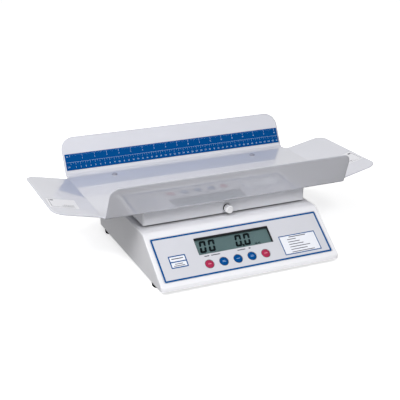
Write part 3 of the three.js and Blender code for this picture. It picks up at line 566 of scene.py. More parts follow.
@dataclass
class Shader:
    """A material under construction, with the few nodes that the finishes share."""

    name: str
    material: bpy.types.Material = field(init=False)

    def __post_init__(self) -> None:
        """Makes the material and finds its shader."""
        self.material = bpy.data.materials.new(self.name)
        self.material.use_nodes = True
        self.nodes = self.material.node_tree.nodes
        self.surface = self.nodes["Principled BSDF"]
        self.place = self.nodes.new("ShaderNodeTexCoord").outputs["Object"]

    def link(self, source: Socket, target: Socket) -> None:
        """Joins one node's result to another's input."""
        self.material.node_tree.links.new(source, target)

    def put(self, **values: float | tuple[float, ...]) -> None:
        """Sets plain values on the shader, with _ for each space in a name."""
        for label, value in values.items():
            self.surface.inputs[label.replace("_", " ")].default_value = value

    def stretched(self, *scale: float) -> Socket:
        """Gives the object coordinates, scaled by a different number along each axis.

        Args:
            scale: The number for each axis.

        Returns:
            The scaled coordinates.
        """
        mapping = self.nodes.new("ShaderNodeMapping")
        mapping.inputs["Scale"].default_value = scale
        self.link(self.place, mapping.inputs["Vector"])
        return mapping.outputs["Vector"]

    def noise(self, size: float, detail: float = 3, source: Socket | None = None) -> Socket:
        """Gives a cloudy pattern.

        Args:
            size: Millimetres across one cloud.
            detail: How many finer layers it has.
            source: Coordinates other than the object's own.

        Returns:
            The pattern's value.
        """
        node = self.nodes.new("ShaderNodeTexNoise")
        node.inputs["Scale"].default_value = 1 / (size * MM)
        node.inputs["Detail"].default_value = detail
        self.link(source or self.place, node.inputs["Vector"])
        return node.outputs["Fac"]

    def ranged(
        self, value: Socket, low: float, high: float, start: float = 0.3, end: float = 0.7,
    ) -> Socket:
        """Turns a value between start and end into one between low and high.

        Args:
            value: The value.
            low: What start turns into.
            high: What end turns into.
            start: Lowest value that counts.
            end: Highest value that counts.

        Returns:
            The new value.
        """
        node = self.nodes.new("ShaderNodeMapRange")
        limits = {"From Min": start, "From Max": end, "To Min": low, "To Max": high}
        for label, number in limits.items():
            node.inputs[label].default_value = number
        self.link(value, node.inputs["Value"])
        return node.outputs["Result"]

    def colour(self, value: Socket, first: Colour, second: Colour) -> None:
        """Gives the surface a colour between two, by a value from 0 to 1.

        Args:
            value: The value.
            first: Colour at 0.
            second: Colour at 1.
        """
        node = self.nodes.new("ShaderNodeValToRGB")
        node.color_ramp.elements[0].color = (*first, 1)
        node.color_ramp.elements[1].color = (*second, 1)
        self.link(value, node.inputs["Fac"])
        self.link(node.outputs["Color"], self.surface.inputs["Base Color"])

    def roughness(self, pattern: Socket, low: float, high: float) -> None:
        """Lets the surface's roughness go from low to high with a pattern."""
        self.link(self.ranged(pattern, low, high), self.surface.inputs["Roughness"])

    def bump(self, pattern: Socket, height: float, strength: float = 1) -> None:
        """Raises the surface by a pattern.

        Args:
            pattern: The pattern's value.
            height: Millimetres from its lowest to its highest.
            strength: Share of that which shows.
        """
        node = self.nodes.new("ShaderNodeBump")
        node.inputs["Distance"].default_value = height * MM
        node.inputs["Strength"].default_value = strength
        self.link(pattern, node.inputs["Height"])
        self.link(node.outputs["Normal"], self.surface.inputs["Normal"])


@dataclass(frozen=True)
class Finish:
    """What a surface looks like, and the record's material slot that it belongs to."""

    name: str
    slot: str
    base: Colour
    made: ClassVar[dict[str, bpy.types.Material]] = {}

    def material(self) -> bpy.types.Material:
        """Gives the material, made once.

        Returns:
            The material, with this finish's own nodes.
        """
        if self.name not in Finish.made:
            shader = Shader(self.name)
            shader.put(Base_Color=(*self.base, 1))
            self.dress(shader)
            Finish.made[self.name] = shader.material
        return Finish.made[self.name]

    def shade(self, share: float) -> Colour:
        """Gives the finish's colour times a share."""
        return tuple(min(part * share, 1) for part in self.base)

    def tint(self, shader: Shader, pattern: Socket, less: float, more: float) -> None:
        """Lets the colour go, with a pattern, from a little darker to a little lighter.

        Args:
            shader: The material under construction.
            pattern: The pattern's value.
            less: How much darker, as a share.
            more: How much lighter, as a share.
        """
        shader.colour(shader.ranged(pattern, 0, 1), self.shade(1 - less), self.shade(1 + more))

    def dress(self, shader: Shader) -> None:
        """Adds the finish's own nodes."""
        raise NotImplementedError


@dataclass(frozen=True)
class MouldedPlastic(Finish):
    """Injection-moulded plastic: fine spark grain, faint flow clouds and glossier patches."""

    roughness: float = 0.4
    grain: float = 0.6
    depth: float = 0.012
    clouds: float = 0.015
    specular: float = 0.5

    def dress(self, shader: Shader) -> None:
        """Adds the grain, the clouds and the patches of gloss.

        Args:
            shader: The material under construction.
        """
        self.tint(shader, shader.noise(size=45, detail=2), less=self.clouds, more=self.clouds)
        patches = shader.noise(size=14)
        shader.roughness(patches, low=self.roughness - 0.04, high=self.roughness + 0.05)
        shader.bump(shader.noise(self.grain, detail=2), self.depth)
        shader.put(Specular_IOR_Level=self.specular)


@dataclass(frozen=True)
class BentSheet(Finish):
    """Clear-to-milky acrylic sheet, polished on both sides: light goes a little way through."""

    through: float = 0.1
    roughness: float = 0.36
    gloss: float = 2.2

    def dress(self, shader: Shader) -> None:
        """Adds faint waves from the heat of bending, and fine rubbing marks.

        Args:
            shader: The material under construction.
        """
        self.tint(shader, shader.noise(size=120, detail=2), less=0.015, more=0.01)
        marks = shader.noise(size=1.2, detail=4, source=shader.stretched(0.15, 1, 1))
        shader.roughness(marks, low=self.roughness - 0.03, high=self.roughness + 0.05)
        shader.bump(shader.noise(size=90, detail=1), height=0.06, strength=0.5)
        shader.put(Transmission_Weight=self.through, IOR=1.49)
        shader.put(Coat_Weight=1.0, Coat_IOR=self.gloss, Coat_Roughness=0.015)


@dataclass(frozen=True)
class Ink(Finish):
    """Screen-printed ink: flat, with a faint weave left by the screen."""

    roughness: float = 0.45

    def dress(self, shader: Shader) -> None:
        """Adds the weave of the screen.

        Args:
            shader: The material under construction.
        """
        weave = shader.noise(size=0.25, detail=1)
        self.tint(shader, weave, less=0.04, more=0.04)
        shader.roughness(weave, low=self.roughness - 0.05, high=self.roughness + 0.05)
        shader.put(Specular_IOR_Level=0.05)


@dataclass(frozen=True)
class PrintedFilm(Finish):
    """Polyester film printed from behind: a velvet front with very fine grain."""

    roughness: float = 0.32

    def dress(self, shader: Shader) -> None:
        """Adds the velvet grain.

        Args:
            shader: The material under construction.
        """
        velvet = shader.noise(size=0.35, detail=2)
        self.tint(shader, shader.noise(size=30, detail=2), less=0.01, more=0.01)
        shader.roughness(velvet, low=self.roughness - 0.03, high=self.roughness + 0.05)
        shader.bump(velvet, height=0.006)


@dataclass(frozen=True)
class Metal(Finish):
    """Metal with rolling or machining lines along one axis and uneven plating."""

    roughness: float = 0.35
    lines: Point = (0.04, 1, 1)
    spread: float = 0.12

    def dress(self, shader: Shader) -> None:
        """Adds the lines and the plating's clouds.

        Args:
            shader: The material under construction.
        """
        lines = shader.noise(size=0.5, source=shader.stretched(*self.lines))
        self.tint(shader, shader.noise(size=9, detail=4), less=self.spread, more=self.spread / 2)
        shader.roughness(lines, low=self.roughness - 0.08, high=self.roughness + 0.1)
        shader.bump(lines, height=0.01, strength=0.6)
        shader.put(Metallic=1.0)


@dataclass(frozen=True)
class Rubber(Finish):
    """Black rubber: matt, with dust in its pores."""

    def dress(self, shader: Shader) -> None:
        """Adds the pores and the dust.

        Args:
            shader: The material under construction.
        """
        pores = shader.noise(size=0.5, detail=4)
        dust = shader.ranged(shader.noise(size=6, detail=5), 0, 1, start=0.5, end=0.8)
        shader.colour(dust, self.base, self.shade(1.8))
        shader.roughness(pores, low=0.72, high=0.9)
        shader.bump(pores, height=0.03)
        shader.put(Specular_IOR_Level=0.3)


@dataclass(frozen=True)
class ClearWindow(Finish):
    """Thin clear plastic: nearly all light goes through, and it keeps its gloss."""

    def dress(self, shader: Shader) -> None:
        """Adds its gloss and faint wipe marks.

        Args:
            shader: The material under construction.
        """
        marks = shader.noise(size=2.5, detail=4, source=shader.stretched(0.3, 1, 1))
        shader.roughness(marks, low=0.03, high=0.08)
        shader.put(Alpha=0.15, IOR=1.45)


@dataclass(frozen=True)
class LiquidCrystal(Finish):
    """A reflective liquid-crystal glass: grey-green, with the polariser's fine grain."""

    def dress(self, shader: Shader) -> None:
        """Adds the reflector's grain and an uneven tone from end to end.

        Args:
            shader: The material under construction.
        """
        grain = shader.noise(size=0.3, detail=2)
        self.tint(shader, shader.noise(size=70, detail=1), less=0.06, more=0.06)
        shader.roughness(grain, low=0.22, high=0.34)
        shader.bump(grain, height=0.004)


@dataclass(frozen=True)
class CircuitBoard(Finish):
    """Solder mask over copper: dark green, with lighter lines where tracks run beneath."""

    cell: float = 4

    def dress(self, shader: Shader) -> None:
        """Adds the tracks as the edges between cells of a square pattern.

        Args:
            shader: The material under construction.
        """
        cells = shader.nodes.new("ShaderNodeTexVoronoi")
        cells.distance, cells.feature = "MANHATTAN", "F1"
        cells.inputs["Scale"].default_value = 1 / (self.cell * MM)
        cells.inputs["Randomness"].default_value = 0.7
        shader.link(shader.place, cells.inputs["Vector"])
        tracks = shader.ranged(cells.outputs["Distance"], 0, 1, start=0.42, end=0.5)
        shader.colour(tracks, self.base, self.shade(1.7))
        shader.roughness(shader.noise(size=1, detail=2), low=0.3, high=0.42)
        shader.bump(tracks, height=0.03)


class Along(Enum):
    """The axis along which stripes follow one another."""

    WIDTH = "X"
    DEPTH = "Y"


@dataclass(frozen=True)
class Striped(Finish):
    """Fine stripes across one axis, as on a flat cable or a battery's wrapped jacket."""

    other: Colour = (0.1, 0.1, 0.1)
    pitch: float = 1.27
    direction: Along = Along.WIDTH

    def dress(self, shader: Shader) -> None:
        """Adds the stripes: the wave's scale is its own turn over the pitch.

        Args:
            shader: The material under construction.
        """
        wave = shader.nodes.new("ShaderNodeTexWave")
        wave.bands_direction = self.direction.value
        wave.inputs["Scale"].default_value = WAVE_TURN / (self.pitch * MM)
        shader.link(shader.place, wave.inputs["Vector"])
        shader.colour(wave.outputs["Fac"], self.base, self.other)
        shader.roughness(shader.noise(size=1.5), low=0.3, high=0.45)
        shader.bump(wave.outputs["Fac"], height=0.1)


WHITE = MouldedPlastic("white_moulding", "white_housing", linear(234, 234, 238), roughness=0.34)
KNOB_WHITE = MouldedPlastic(
    "white_nylon", "white_platform", linear(252, 252, 254), roughness=0.3,
)
COVER_WHITE = MouldedPlastic(
    "cover_moulding", "white_platform", linear(234, 235, 240), roughness=0.36,
)
SHEET = BentSheet("milky_sheet", "translucent_tray", linear(222, 223, 232))
STRIP_BLUE = Ink("strip_blue", "blue_strip", linear(0, 72, 136), roughness=0.5)
STRIP_WHITE = Ink("strip_white", "blue_strip", linear(170, 195, 224))
LABEL_WHITE = Ink("label_white", "translucent_tray", linear(228, 228, 232), roughness=0.4)
LABEL_GREY = Ink("label_grey", "translucent_tray", linear(96, 98, 106), roughness=0.4)
FILM = PrintedFilm("panel_film", "grey_overlay", linear(207, 208, 215))
PANEL_BLUE = Ink("panel_blue", "grey_overlay", linear(0, 78, 140), roughness=0.5)
PANEL_WHITE = Ink("panel_white", "grey_overlay", linear(231, 233, 240), roughness=0.35)
PANEL_DARK = Ink("panel_dark", "grey_overlay", linear(66, 68, 80), roughness=0.35)
WINDOW = ClearWindow("display_window", "clear_window", linear(24, 28, 28))
GLASS = LiquidCrystal("display_glass", "liquid_crystal", linear(120, 149, 151))
SEGMENT = Ink("display_segment", "liquid_crystal", linear(8, 22, 26), roughness=0.5)
SEGMENT_SHADOW = Ink(
    "display_segment_shadow", "liquid_crystal", linear(92, 116, 120), roughness=0.5,
)
BLUE_KEY = MouldedPlastic(
    "blue_key", "blue_key", linear(0, 72, 136),
    roughness=0.45, grain=0.5, depth=0.008, clouds=0.03, specular=0.1,
)
RED_KEY = MouldedPlastic(
    "red_key", "red_key", linear(166, 48, 80),
    roughness=0.45, grain=0.5, depth=0.008, clouds=0.03, specular=0.15,
)
BLUE_KEY_PRINT = Ink("blue_key_print", "blue_key", linear(150, 178, 220), roughness=0.4)
RED_KEY_PRINT = Ink("red_key_print", "red_key", linear(232, 168, 182), roughness=0.4)
BLACK = MouldedPlastic(
    "black_moulding", "black_plastic", linear(32, 32, 35),
    roughness=0.42, grain=0.5, depth=0.015, clouds=0.12,
)
NYLON = MouldedPlastic(
    "grey_nylon", "black_plastic", linear(150, 152, 166),
    roughness=0.5, grain=0.5, depth=0.01, clouds=0.04,
)
RUBBER = Rubber("black_rubber", "black_rubber", linear(16, 16, 16))
ZINC = Metal("zinc_plate", "zinc_steel", linear(166, 168, 172), roughness=0.38)
STEEL = Metal(
    "bright_steel", "bright_steel", linear(196, 197, 200),
    roughness=0.26, lines=(1, 1, 0.04), spread=0.06,
)
ALUMINIUM = Metal(
    "bare_aluminium", "bare_aluminium", linear(205, 206, 208),
    roughness=0.36, lines=(0.03, 1, 1), spread=0.05,
)
GREEN = CircuitBoard("circuit_board", "circuit_green", linear(24, 78, 46))
RIBBON = Striped("flat_cable", "grey_ribbon", linear(186, 187, 190), linear(140, 142, 146))
JACKET = Striped(
    "battery_jacket", "battery_jacket", linear(62, 66, 74),
    linear(190, 150, 84), pitch=48.5, direction=Along.DEPTH,
)


# Sub-assemblies


@dataclass
class Assembly:
    """A group of pieces that ride on one body of the frame."""

    body: str = "base"

    def add(
        self, name: str, mesh: Mesh, finish: Finish, *replaces: str,
        frame: Frame | None = None, smooth: float = 32, bevel: float = 0,
    ) -> None:
        """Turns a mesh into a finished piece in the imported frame, on this assembly's body.

        Args:
            name: The piece's name.
            mesh: Its mesh.
            finish: Its finish.
            replaces: The CAD nodes that it stands for.
            frame: Where the mesh is drawn, if not on the bench itself.
            smooth: Degrees past which an edge stays sharp.
            bevel: Radius that a modifier gives to sharp edges, in millimetres.
        """
        piece = raw_object(name, (mesh.placed(frame) if frame else mesh).shifted(*BENCH))
        data = piece.data
        data.transform(Matrix.Scale(MM, 4))
        data.shade_smooth()
        data.set_sharp_from_angle(angle=math.radians(smooth))
        data.materials.append(finish.material())
        if bevel > 0:
            edge = piece.modifiers.new("edge", "BEVEL")
            edge.width, edge.segments, edge.limit_method = bevel * MM, 2, "ANGLE"
            edge.angle_limit = math.radians(smooth)
            edge.use_clamp_overlap, edge.harden_normals = True, False
        piece.modifiers.new("flat_faces", "WEIGHTED_NORMAL").keep_sharp = True
        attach(piece, self.body)
        if replaces:
            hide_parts(*replaces)
        counts = (len(data.vertices), len(data.polygons))
        LOG.info("%s: %d points, %d faces, on %s", name, *counts, self.body)


@dataclass
class Shapes:
    """Sizes that several assemblies share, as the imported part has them."""

    width: float = 353
    depth: float = 349
    lip: float = 7
    deck: float = 74
    foot: float = 8
    run: float = 89
    wall: float = 3
    platform_middle: float = 217.35
    sheet: float = 3
    tray_low: float = 109.4
    front_fold: float = 94
    rear_fold: float = 344.5
    rear_lean: float = math.radians(27.5)
    rear_length: float = 76.7

    @property
    def slope(self) -> float:
        """Length of the console from the lip to the deck."""
        return math.hypot(self.deck - self.lip, self.run)

    @property
    def console(self) -> Frame:
        """The console's own frame: across, up the slope, and out of the panel."""
        rise, run = (self.deck - self.lip) / self.slope, self.run / self.slope
        return Frame((0, 0, self.lip), up=(0, run, rise), out=(0, -rise, run))

    @property
    def rear_panel(self) -> Frame:
        """The rear panel's own frame, on the outer face of the sheet, up from the fold.

        Returns:
            The frame, leaning back with the panel.
        """
        sine, cosine = math.sin(self.rear_lean), math.cos(self.rear_lean)
        fold = (0, self.rear_fold, self.tray_low)
        return Frame(fold, up=(0, sine, cosine), out=(0, -cosine, sine))


SIZES = Shapes()
REAR_REACH = SIZES.rear_length * math.sin(SIZES.rear_lean)
BENCH = (0, -(SIZES.rear_fold + REAR_REACH) / 2, SIZES.foot)
ALONG_X = Frame(across=(0, 1, 0), up=(0, 0, 1), out=(1, 0, 0))


@dataclass
class Housing(Assembly):
    """The base: a moulded wedge with a sloped console, its window opening and key holes."""

    lip_edge: float = 3
    kink_edge: float = 18
    rear_edge: float = 5
    side_edge: float = 2
    front_corner: float = 6
    rear_corner: float = 15
    overrun: float = 5
    pan_top: float = 2.6
    boss: float = 4.5
    boss_pilot: float = 2.05
    pilot_depth: float = 12
    boss_side: float = 156
    boss_rows: Pair = (70, 280)
    boss_cover: float = 1
    deck_hole: float = 24
    deck_hole_x: float = 47
    inlet: Point = (-120, 26, 5.5)
    sharp_edge: float = 0.35

    def wedge(self, far: float, bottom: float) -> Mesh:
        """Gives the wedge's body, with every wall moved inwards.

        The side view, with its corners rounded, runs along the width with a quarter circle
        at both ends. What it shares with the raised plan view, whose corners are rounded
        too, is the body.

        Args:
            far: How far in the walls are.
            bottom: Height of its lower face.

        Returns:
            The closed body.
        """
        tilt = math.atan2(SIZES.deck - SIZES.lip, SIZES.run)
        roof, rear = SIZES.deck - far, SIZES.depth - far
        drop = far / math.cos(tilt)
        lip = SIZES.lip + far * math.tan(tilt) - drop
        kink = (roof - SIZES.lip + drop) / math.tan(tilt)
        under = bottom - self.overrun
        side = rounded([
            (far, under),
            (rear, under),
            (rear, roof, max(self.rear_edge - far, 0)),
            (kink, roof, self.kink_edge - far),
            (far, lip, max(self.lip_edge - far, 0)),
        ])
        half = SIZES.width / 2 - far
        edge = max(self.side_edge - far, 0)
        body = slab(side, edged(-half, half, edge)).placed(ALONG_X)
        front, back = self.front_corner - far, self.rear_corner - far
        plan = [(-half, far, front), (half, far, front), (half, rear, back), (-half, rear, back)]
        block = plate(rounded(plan), bottom, SIZES.deck + self.overrun)
        return carve(body, [(Cut.COMMON, block)])

    def build(self, panel: "Panel") -> None:
        """Builds the housing, with the openings that the panel needs.

        Args:
            panel: The console's panel, which knows its window, film and keys.
        """
        places = [(side * self.boss_side, y) for side in (-1, 1) for y in self.boss_rows]
        low, high = self.pan_top + GAP, self.pan_top + self.pilot_depth
        bosses = joined([drill(self.boss, low, SIZES.deck, x, y, HOLE_ROUND) for x, y in places])
        cuts = [
            (Cut.AWAY, self.wedge(SIZES.wall, -self.overrun)),
            (Cut.ADD, carve(bosses, [(Cut.COMMON, self.wedge(self.boss_cover, 0))])),
        ]
        pilot = (self.boss_pilot, -OVERRUN, high)
        cuts += [(Cut.AWAY, drill(*pilot, x, y, HOLE_ROUND)) for x, y in places]
        cuts += [(Cut.AWAY, tool) for tool in panel.openings()]
        through = (SIZES.deck - SIZES.wall - self.overrun, SIZES.deck + self.overrun)
        place = (self.deck_hole_x, SIZES.platform_middle)
        cuts.append((Cut.AWAY, drill(self.deck_hole, *through, *place)))
        x, z, radius = self.inlet
        socket = drill(radius, -self.overrun, SIZES.wall + self.overrun)
        cuts.append((Cut.AWAY, socket.placed(Frame((x, SIZES.depth, z)))))
        shell = carve(self.wedge(0, 0), cuts)
        self.add("housing_shell", shell, WHITE, "housing", bevel=self.sharp_edge)


@dataclass(frozen=True)
class Segments:
    """A seven-segment numeral, leaning a little, as a display's glass is etched."""

    height: float
    width: float
    stroke: float
    slant: float = math.radians(9.5)
    slack: float = 0.2
    dot: float = 0.62
    lit: ClassVar[dict[str, str]] = {"0": "abcdef", "-": "g", "L": "def"}

    def digit(self, letter: str, x: float, y: float) -> list[np.ndarray]:
        """Gives the lit segments of a numeral: six-cornered bars, some of them mirrored.

        Args:
            letter: The numeral.
            x: Its left end.
            y: Its foot.

        Returns:
            The corners of each segment.
        """
        w, h, t = self.width, self.height, self.stroke
        half, gap = t / 2, t * self.slack
        end = h / 2 - half
        flat = [(gap, 0), (half, -half), (w - half, -half), (w - gap, 0), (w - t, half), (t, half)]
        tall = [(0, gap), (half, t), (half, end), (0, h / 2 - gap), (-half, end), (-half, half)]
        across, up = np.array(flat), np.array(tall)
        over, beside = (across * (1, -1))[::-1], (up * (-1, 1))[::-1]
        shapes = {
            "a": over + (0, h - half), "g": across + (0, h / 2), "d": across + (0, half),
            "e": up + (half, 0), "f": up + (half, h / 2),
            "c": beside + (w - half, 0), "b": beside + (w - half, h / 2),
        }
        lean = np.array([[1, 0], [math.tan(self.slant), 1]])
        return [shapes[name] @ lean + (x, y) for name in self.lit[letter]]

    def point(self, x: float, y: float) -> list[np.ndarray]:
        """Gives the decimal point, a six-sided dot at the foot of the numerals."""
        dot = round_points(np.arange(6) * math.pi / 3, self.dot * self.stroke)
        return [dot + (x, y + self.stroke / 2)]


@dataclass
class Panel(Assembly):
    """What the console carries: printed film, clear window, and the display's digits."""

    film_side: float = 7.9
    film_low: float = 9.2
    film_top: float = 11.9
    film_corner: float = 3
    film: float = 0.5
    film_edge: float = 0.12
    film_tool: Pair = (-2, 2)
    housing_tool: Pair = (-9, 5)
    window_middle: Pair = (-14, 68.3)
    window: Pair = (149, 34.8)
    window_corner: float = 1
    lens_lap: float = 4.2
    lens: Pair = (-4.8, -3.3)
    lens_edge: float = 0.15
    glass_top: float = -5.1
    # Lining widths: left, bottom, right, top; the wide top and right stand for painted shade.
    lining: Edges = (0.5, 0.4, 2.1, 3)
    key_up: float = 30.6
    key_middle: float = -19.8
    key_pitch: float = 27.9
    key_radius: float = 8
    key_count: int = 5
    # Painted shade ring round each key: its gap past the key's radius, and its width.
    ring: Pair = (0.75, 0.7)
    corner_steps: int = 6
    border: tuple[Point, ...] = (
        (-166.6, 10.2, 2.5), (166.6, 10.2, 2.5), (166.9, 98.1, 2.5), (-167.1, 98.1, 2.5),
    )
    border_width: float = 3.4
    boxes: tuple[tuple[Edges, float, float], ...] = (
        ((-146.2, 34.3, -113.6, 59), 1.5, 2.1), ((72.6, 18.6, 148.4, 58.6), 1, 1.8),
    )
    box_inset: float = 0.2
    divider: Edges = (-145.2, 45.6, -114.6, 47.7)
    rules: tuple[Edges, ...] = (
        (-141, 51.8, -119, 53.6), (-137.5, 41.6, -122.5, 42.9), (-140.5, 38, -119.5, 39.3),
        (93, 53.4, 128, 55),
    )
    first_line: Point = (88, 48.6, 50)
    line_ends: tuple[float, ...] = (106, 112, 118, 130, 122, 135)
    line_pitch: float = 5.3
    captions: tuple[Edges, ...] = (
        (-79.9, 45.9, -70.5, 47.6), (-67, 45.9, -49.4, 47.6), (-14.9, 45.9, 0.5, 47.6),
        (7.5, 45.9, 11.5, 48),
    )
    digits: Segments = Segments(height=24, width=12.4, stroke=3.9)
    digit_places: tuple[float, ...] = (-82.3, -64.9, -11.8, 5.6)
    digit_foot: float = 56.4
    point_place: Pair = (3.2, 55.8)
    marks: Segments = Segments(height=5, width=3.6, stroke=1.8)
    mark_places: Pair = (24.8, 31.2)
    mark_foot: float = 54.4
    mark_step: float = 3
    shadow: Pair = (0.55, -0.55)
    digit_level: Pair = (0.06, 0.1)
    shadow_level: Pair = (0.01, 0.04)

    @property
    def key_places(self) -> list[float]:
        """Where the keys are across the console."""
        middle = (self.key_count - 1) / 2
        return [self.key_middle + (i - middle) * self.key_pitch for i in range(self.key_count)]

    def window_outline(self, lap: float) -> np.ndarray:
        """Gives the window's outline on the console, larger all round by a lap.

        Args:
            lap: How much larger.

        Returns:
            The outline.
        """
        width, height = self.window
        outline = rectangle(width + 2 * lap, height + 2 * lap, self.window_corner, SMALL_ARC)
        return outline + self.window_middle

    def film_outline(self, lap: float) -> np.ndarray:
        """Gives the film's outline on the console, larger all round by a lap.

        Args:
            lap: How much larger.

        Returns:
            The outline.
        """
        x = SIZES.width / 2 - self.film_side + lap
        low, high = self.film_low - lap, SIZES.slope - self.film_top + lap
        return oblong(-x, low, x, high, self.film_corner + lap, self.corner_steps)

    def holes(self, *level: float) -> list[Mesh]:
        """Gives the tools that cut the window and the key holes, on the console."""
        keys = [drill(self.key_radius + GAP, *level, x, self.key_up) for x in self.key_places]
        return [plate(self.window_outline(0), *level), *keys]

    def openings(self) -> list[Mesh]:
        """Gives the tools that cut the housing for the window, the keys and the film.

        Returns:
            The tools on the bench.
        """
        low, high = self.housing_tool
        recess = plate(self.film_outline(GAP), -self.film - GAP, high)
        return [tool.placed(SIZES.console) for tool in (*self.holes(low, high), recess)]

    def lay(self, name: str, mesh: Mesh, finish: Finish, *replaces: str) -> None:
        """Adds a piece that is drawn in the console's own frame."""
        self.add(name, mesh, finish, *replaces, frame=SIZES.console)

    def build(self) -> None:
        """Builds the film, its print, the painted shade round the keys, the window and the display.
        """
        film = slab(self.film_outline(0), edged(-self.film, 0, self.film_edge, 0, steps=3))
        film = carve(film, [(Cut.AWAY, hole) for hole in self.holes(*self.film_tool)])
        self.lay("console_film", film, FILM, "console_overlay")
        line = band(rounded(self.border, self.corner_steps), self.border_width, 0, PRINT)
        self.lay("console_border", line, PANEL_BLUE)
        self.print_boxes()
        # The dark rings round the key holes are painted shade, standing for the darker edge round
        # each key.
        far, width = self.ring
        ring = circle(self.key_radius + far)
        rings = [band(ring + (x, self.key_up), width, 0, PRINT) for x in self.key_places]
        self.lay("key_shade_rings", joined(rings), PANEL_DARK)
        self.build_window()
        self.print_digits()

    def print_boxes(self) -> None:
        """Prints the two boxes, and the plain rules in and round them."""
        level = (PRINT, 2 * PRINT)
        fills, lines = [], []
        for edges, corner, width in self.boxes:
            outline = oblong(*edges, corner, SMALL_ARC)
            fills.append(plate(outline, 0, PRINT, self.box_inset))
            lines.append(band(outline, width, *level))
        self.lay("box_fields", joined(fills), PANEL_WHITE)
        self.lay("box_lines", joined([*lines, bars([self.divider], *level)]), PANEL_BLUE)
        left, low, high = self.first_line
        falls = [self.line_pitch * row for row in range(len(self.line_ends))]
        text = [(left, low - fall, end, high - fall) for fall, end in zip(falls, self.line_ends)]
        self.lay("box_rules", bars([*self.rules, *text], *level), PANEL_DARK)
        self.lay("display_captions", bars(self.captions, 0, PRINT), PANEL_DARK)

    def build_window(self) -> None:
        """Builds the clear window, and a black lining with painted shade at its top and right."""
        lens = slab(self.window_outline(self.lens_lap), edged(*self.lens, self.lens_edge, steps=2))
        self.lay("display_lens", lens, WINDOW, "lcd_window")
        low, high = self.lens[1] + HAIR, -self.film - GAP
        left, below, right, above = self.lining
        outer = self.window_outline(-HAIR)
        hole = oblong(*(outer.min(0) + (left, below)), *(outer.max(0) - (right, above)))
        tool = plate(hole, low - OVERRUN, high + OVERRUN)
        # A black lining, whose wide top and right bands are painted shade of the opening's walls.
        lining = carve(plate(outer, low, high), [(Cut.AWAY, tool)])
        self.lay("display_lining_and_shade", lining, BLACK)

    def print_digits(self) -> None:
        """Prints the display's digits a hair above its glass, and their soft shadow under them."""
        shapes = []
        for x in self.digit_places:
            shapes += self.digits.digit("0", x, self.digit_foot)
        shapes += self.digits.point(*self.point_place)
        for x in self.mark_places:
            shapes += self.marks.digit("-", x, self.mark_foot)
            shapes += self.marks.digit("L", x + self.mark_step, self.mark_foot)
        dark = prisms(np.array(shapes), *(self.glass_top + z for z in self.digit_level))
        self.lay("display_digits", dark, SEGMENT)
        low, high = (self.glass_top + z for z in self.shadow_level)
        shade = prisms(np.array(shapes) + self.shadow, low, high)
        self.lay("display_digit_shadows", shade, SEGMENT_SHADOW)


@dataclass
class Keys:
    """The five round keys, each of which rides on its own body."""

    panel: Panel
    dome: float = 0.9
    drop: float = 0.4
    shoulder: int = 4
    crown_points: int = 20
    flange: float = 9.4
    flange_low: float = -4.4
    stem: float = 2
    stem_low: float = -5
    print_depth: float = 0.1
    letters: float = 2.6
    middle_rule: tuple[Edges, ...] = ((-3.4, -0.45, 3.4, 0.45),)
    two_rules: tuple[Edges, ...] = ((-2.6, 0.7, 2.6, 1.5), (-3.5, -1.5, 3.5, -0.7))

    def crown(self, radius: np.ndarray) -> np.ndarray:
        """Gives the cap's height at a radius: the root of one less a power of its share."""
        share = np.clip(radius / self.panel.key_radius, 0, 1) ** self.shoulder
        return -self.drop + (self.dome + self.drop) * np.sqrt(1 - share)

    def cap(self) -> Mesh:
        """Gives the key: stem, flange under the panel, and domed cap, turned round its axis.

        Returns:
            The closed mesh, its axis at the origin.
        """
        radius = self.panel.key_radius
        over = radius * np.sin(np.linspace(QUARTER, 0, self.crown_points))
        under = -SIZES.wall - GAP
        outside = [
            (0, self.stem_low), (self.stem, self.stem_low), (self.stem, self.flange_low),
            (self.flange, self.flange_low), (self.flange, under), (radius, under),
        ]
        return turned(outside + list(zip(over, self.crown(over))))

    def print_on(self, mesh: Mesh) -> Mesh:
        """Lays flat print over the dome: its foot sinks in, and its top stands a hair above.

        Args:
            mesh: The print, flat.

        Returns:
            The print, with each point at the dome's height under it.
        """
        points = mesh.points.copy()
        upper = points[:, 2] > points[:, 2].mean()
        points[:, 2] = self.crown(np.linalg.norm(points[:, :2], axis=1))
        points[:, 2] += np.where(upper, PRINT, -self.print_depth)
        return Mesh(points, mesh.faces)

    def build(self) -> None:
        """Builds the keys, and the words on the red ones and rules on the blue ones."""
        two = bars(self.two_rules, 0, 1)
        on, off = (lettering([(word, 0, 0, self.letters)], 0, 1) for word in ("ON", "OFF"))
        prints = (on, two, bars(self.middle_rule, 0, 1), two, off)
        for i, (x, flat) in enumerate(zip(self.panel.key_places, prints), 1):
            group = Assembly(f"key_{i}")
            place = (x, self.panel.key_up)
            red = i in (1, self.panel.key_count)
            body, ink = (RED_KEY, RED_KEY_PRINT) if red else (BLUE_KEY, BLUE_KEY_PRINT)
            cap, legend = (mesh.shifted(*place) for mesh in (self.cap(), self.print_on(flat)))
            group.add(f"key_cap_{i}", cap, body, f"key_{i}", frame=SIZES.console)
            group.add(f"key_print_{i}", legend, ink, frame=SIZES.console)


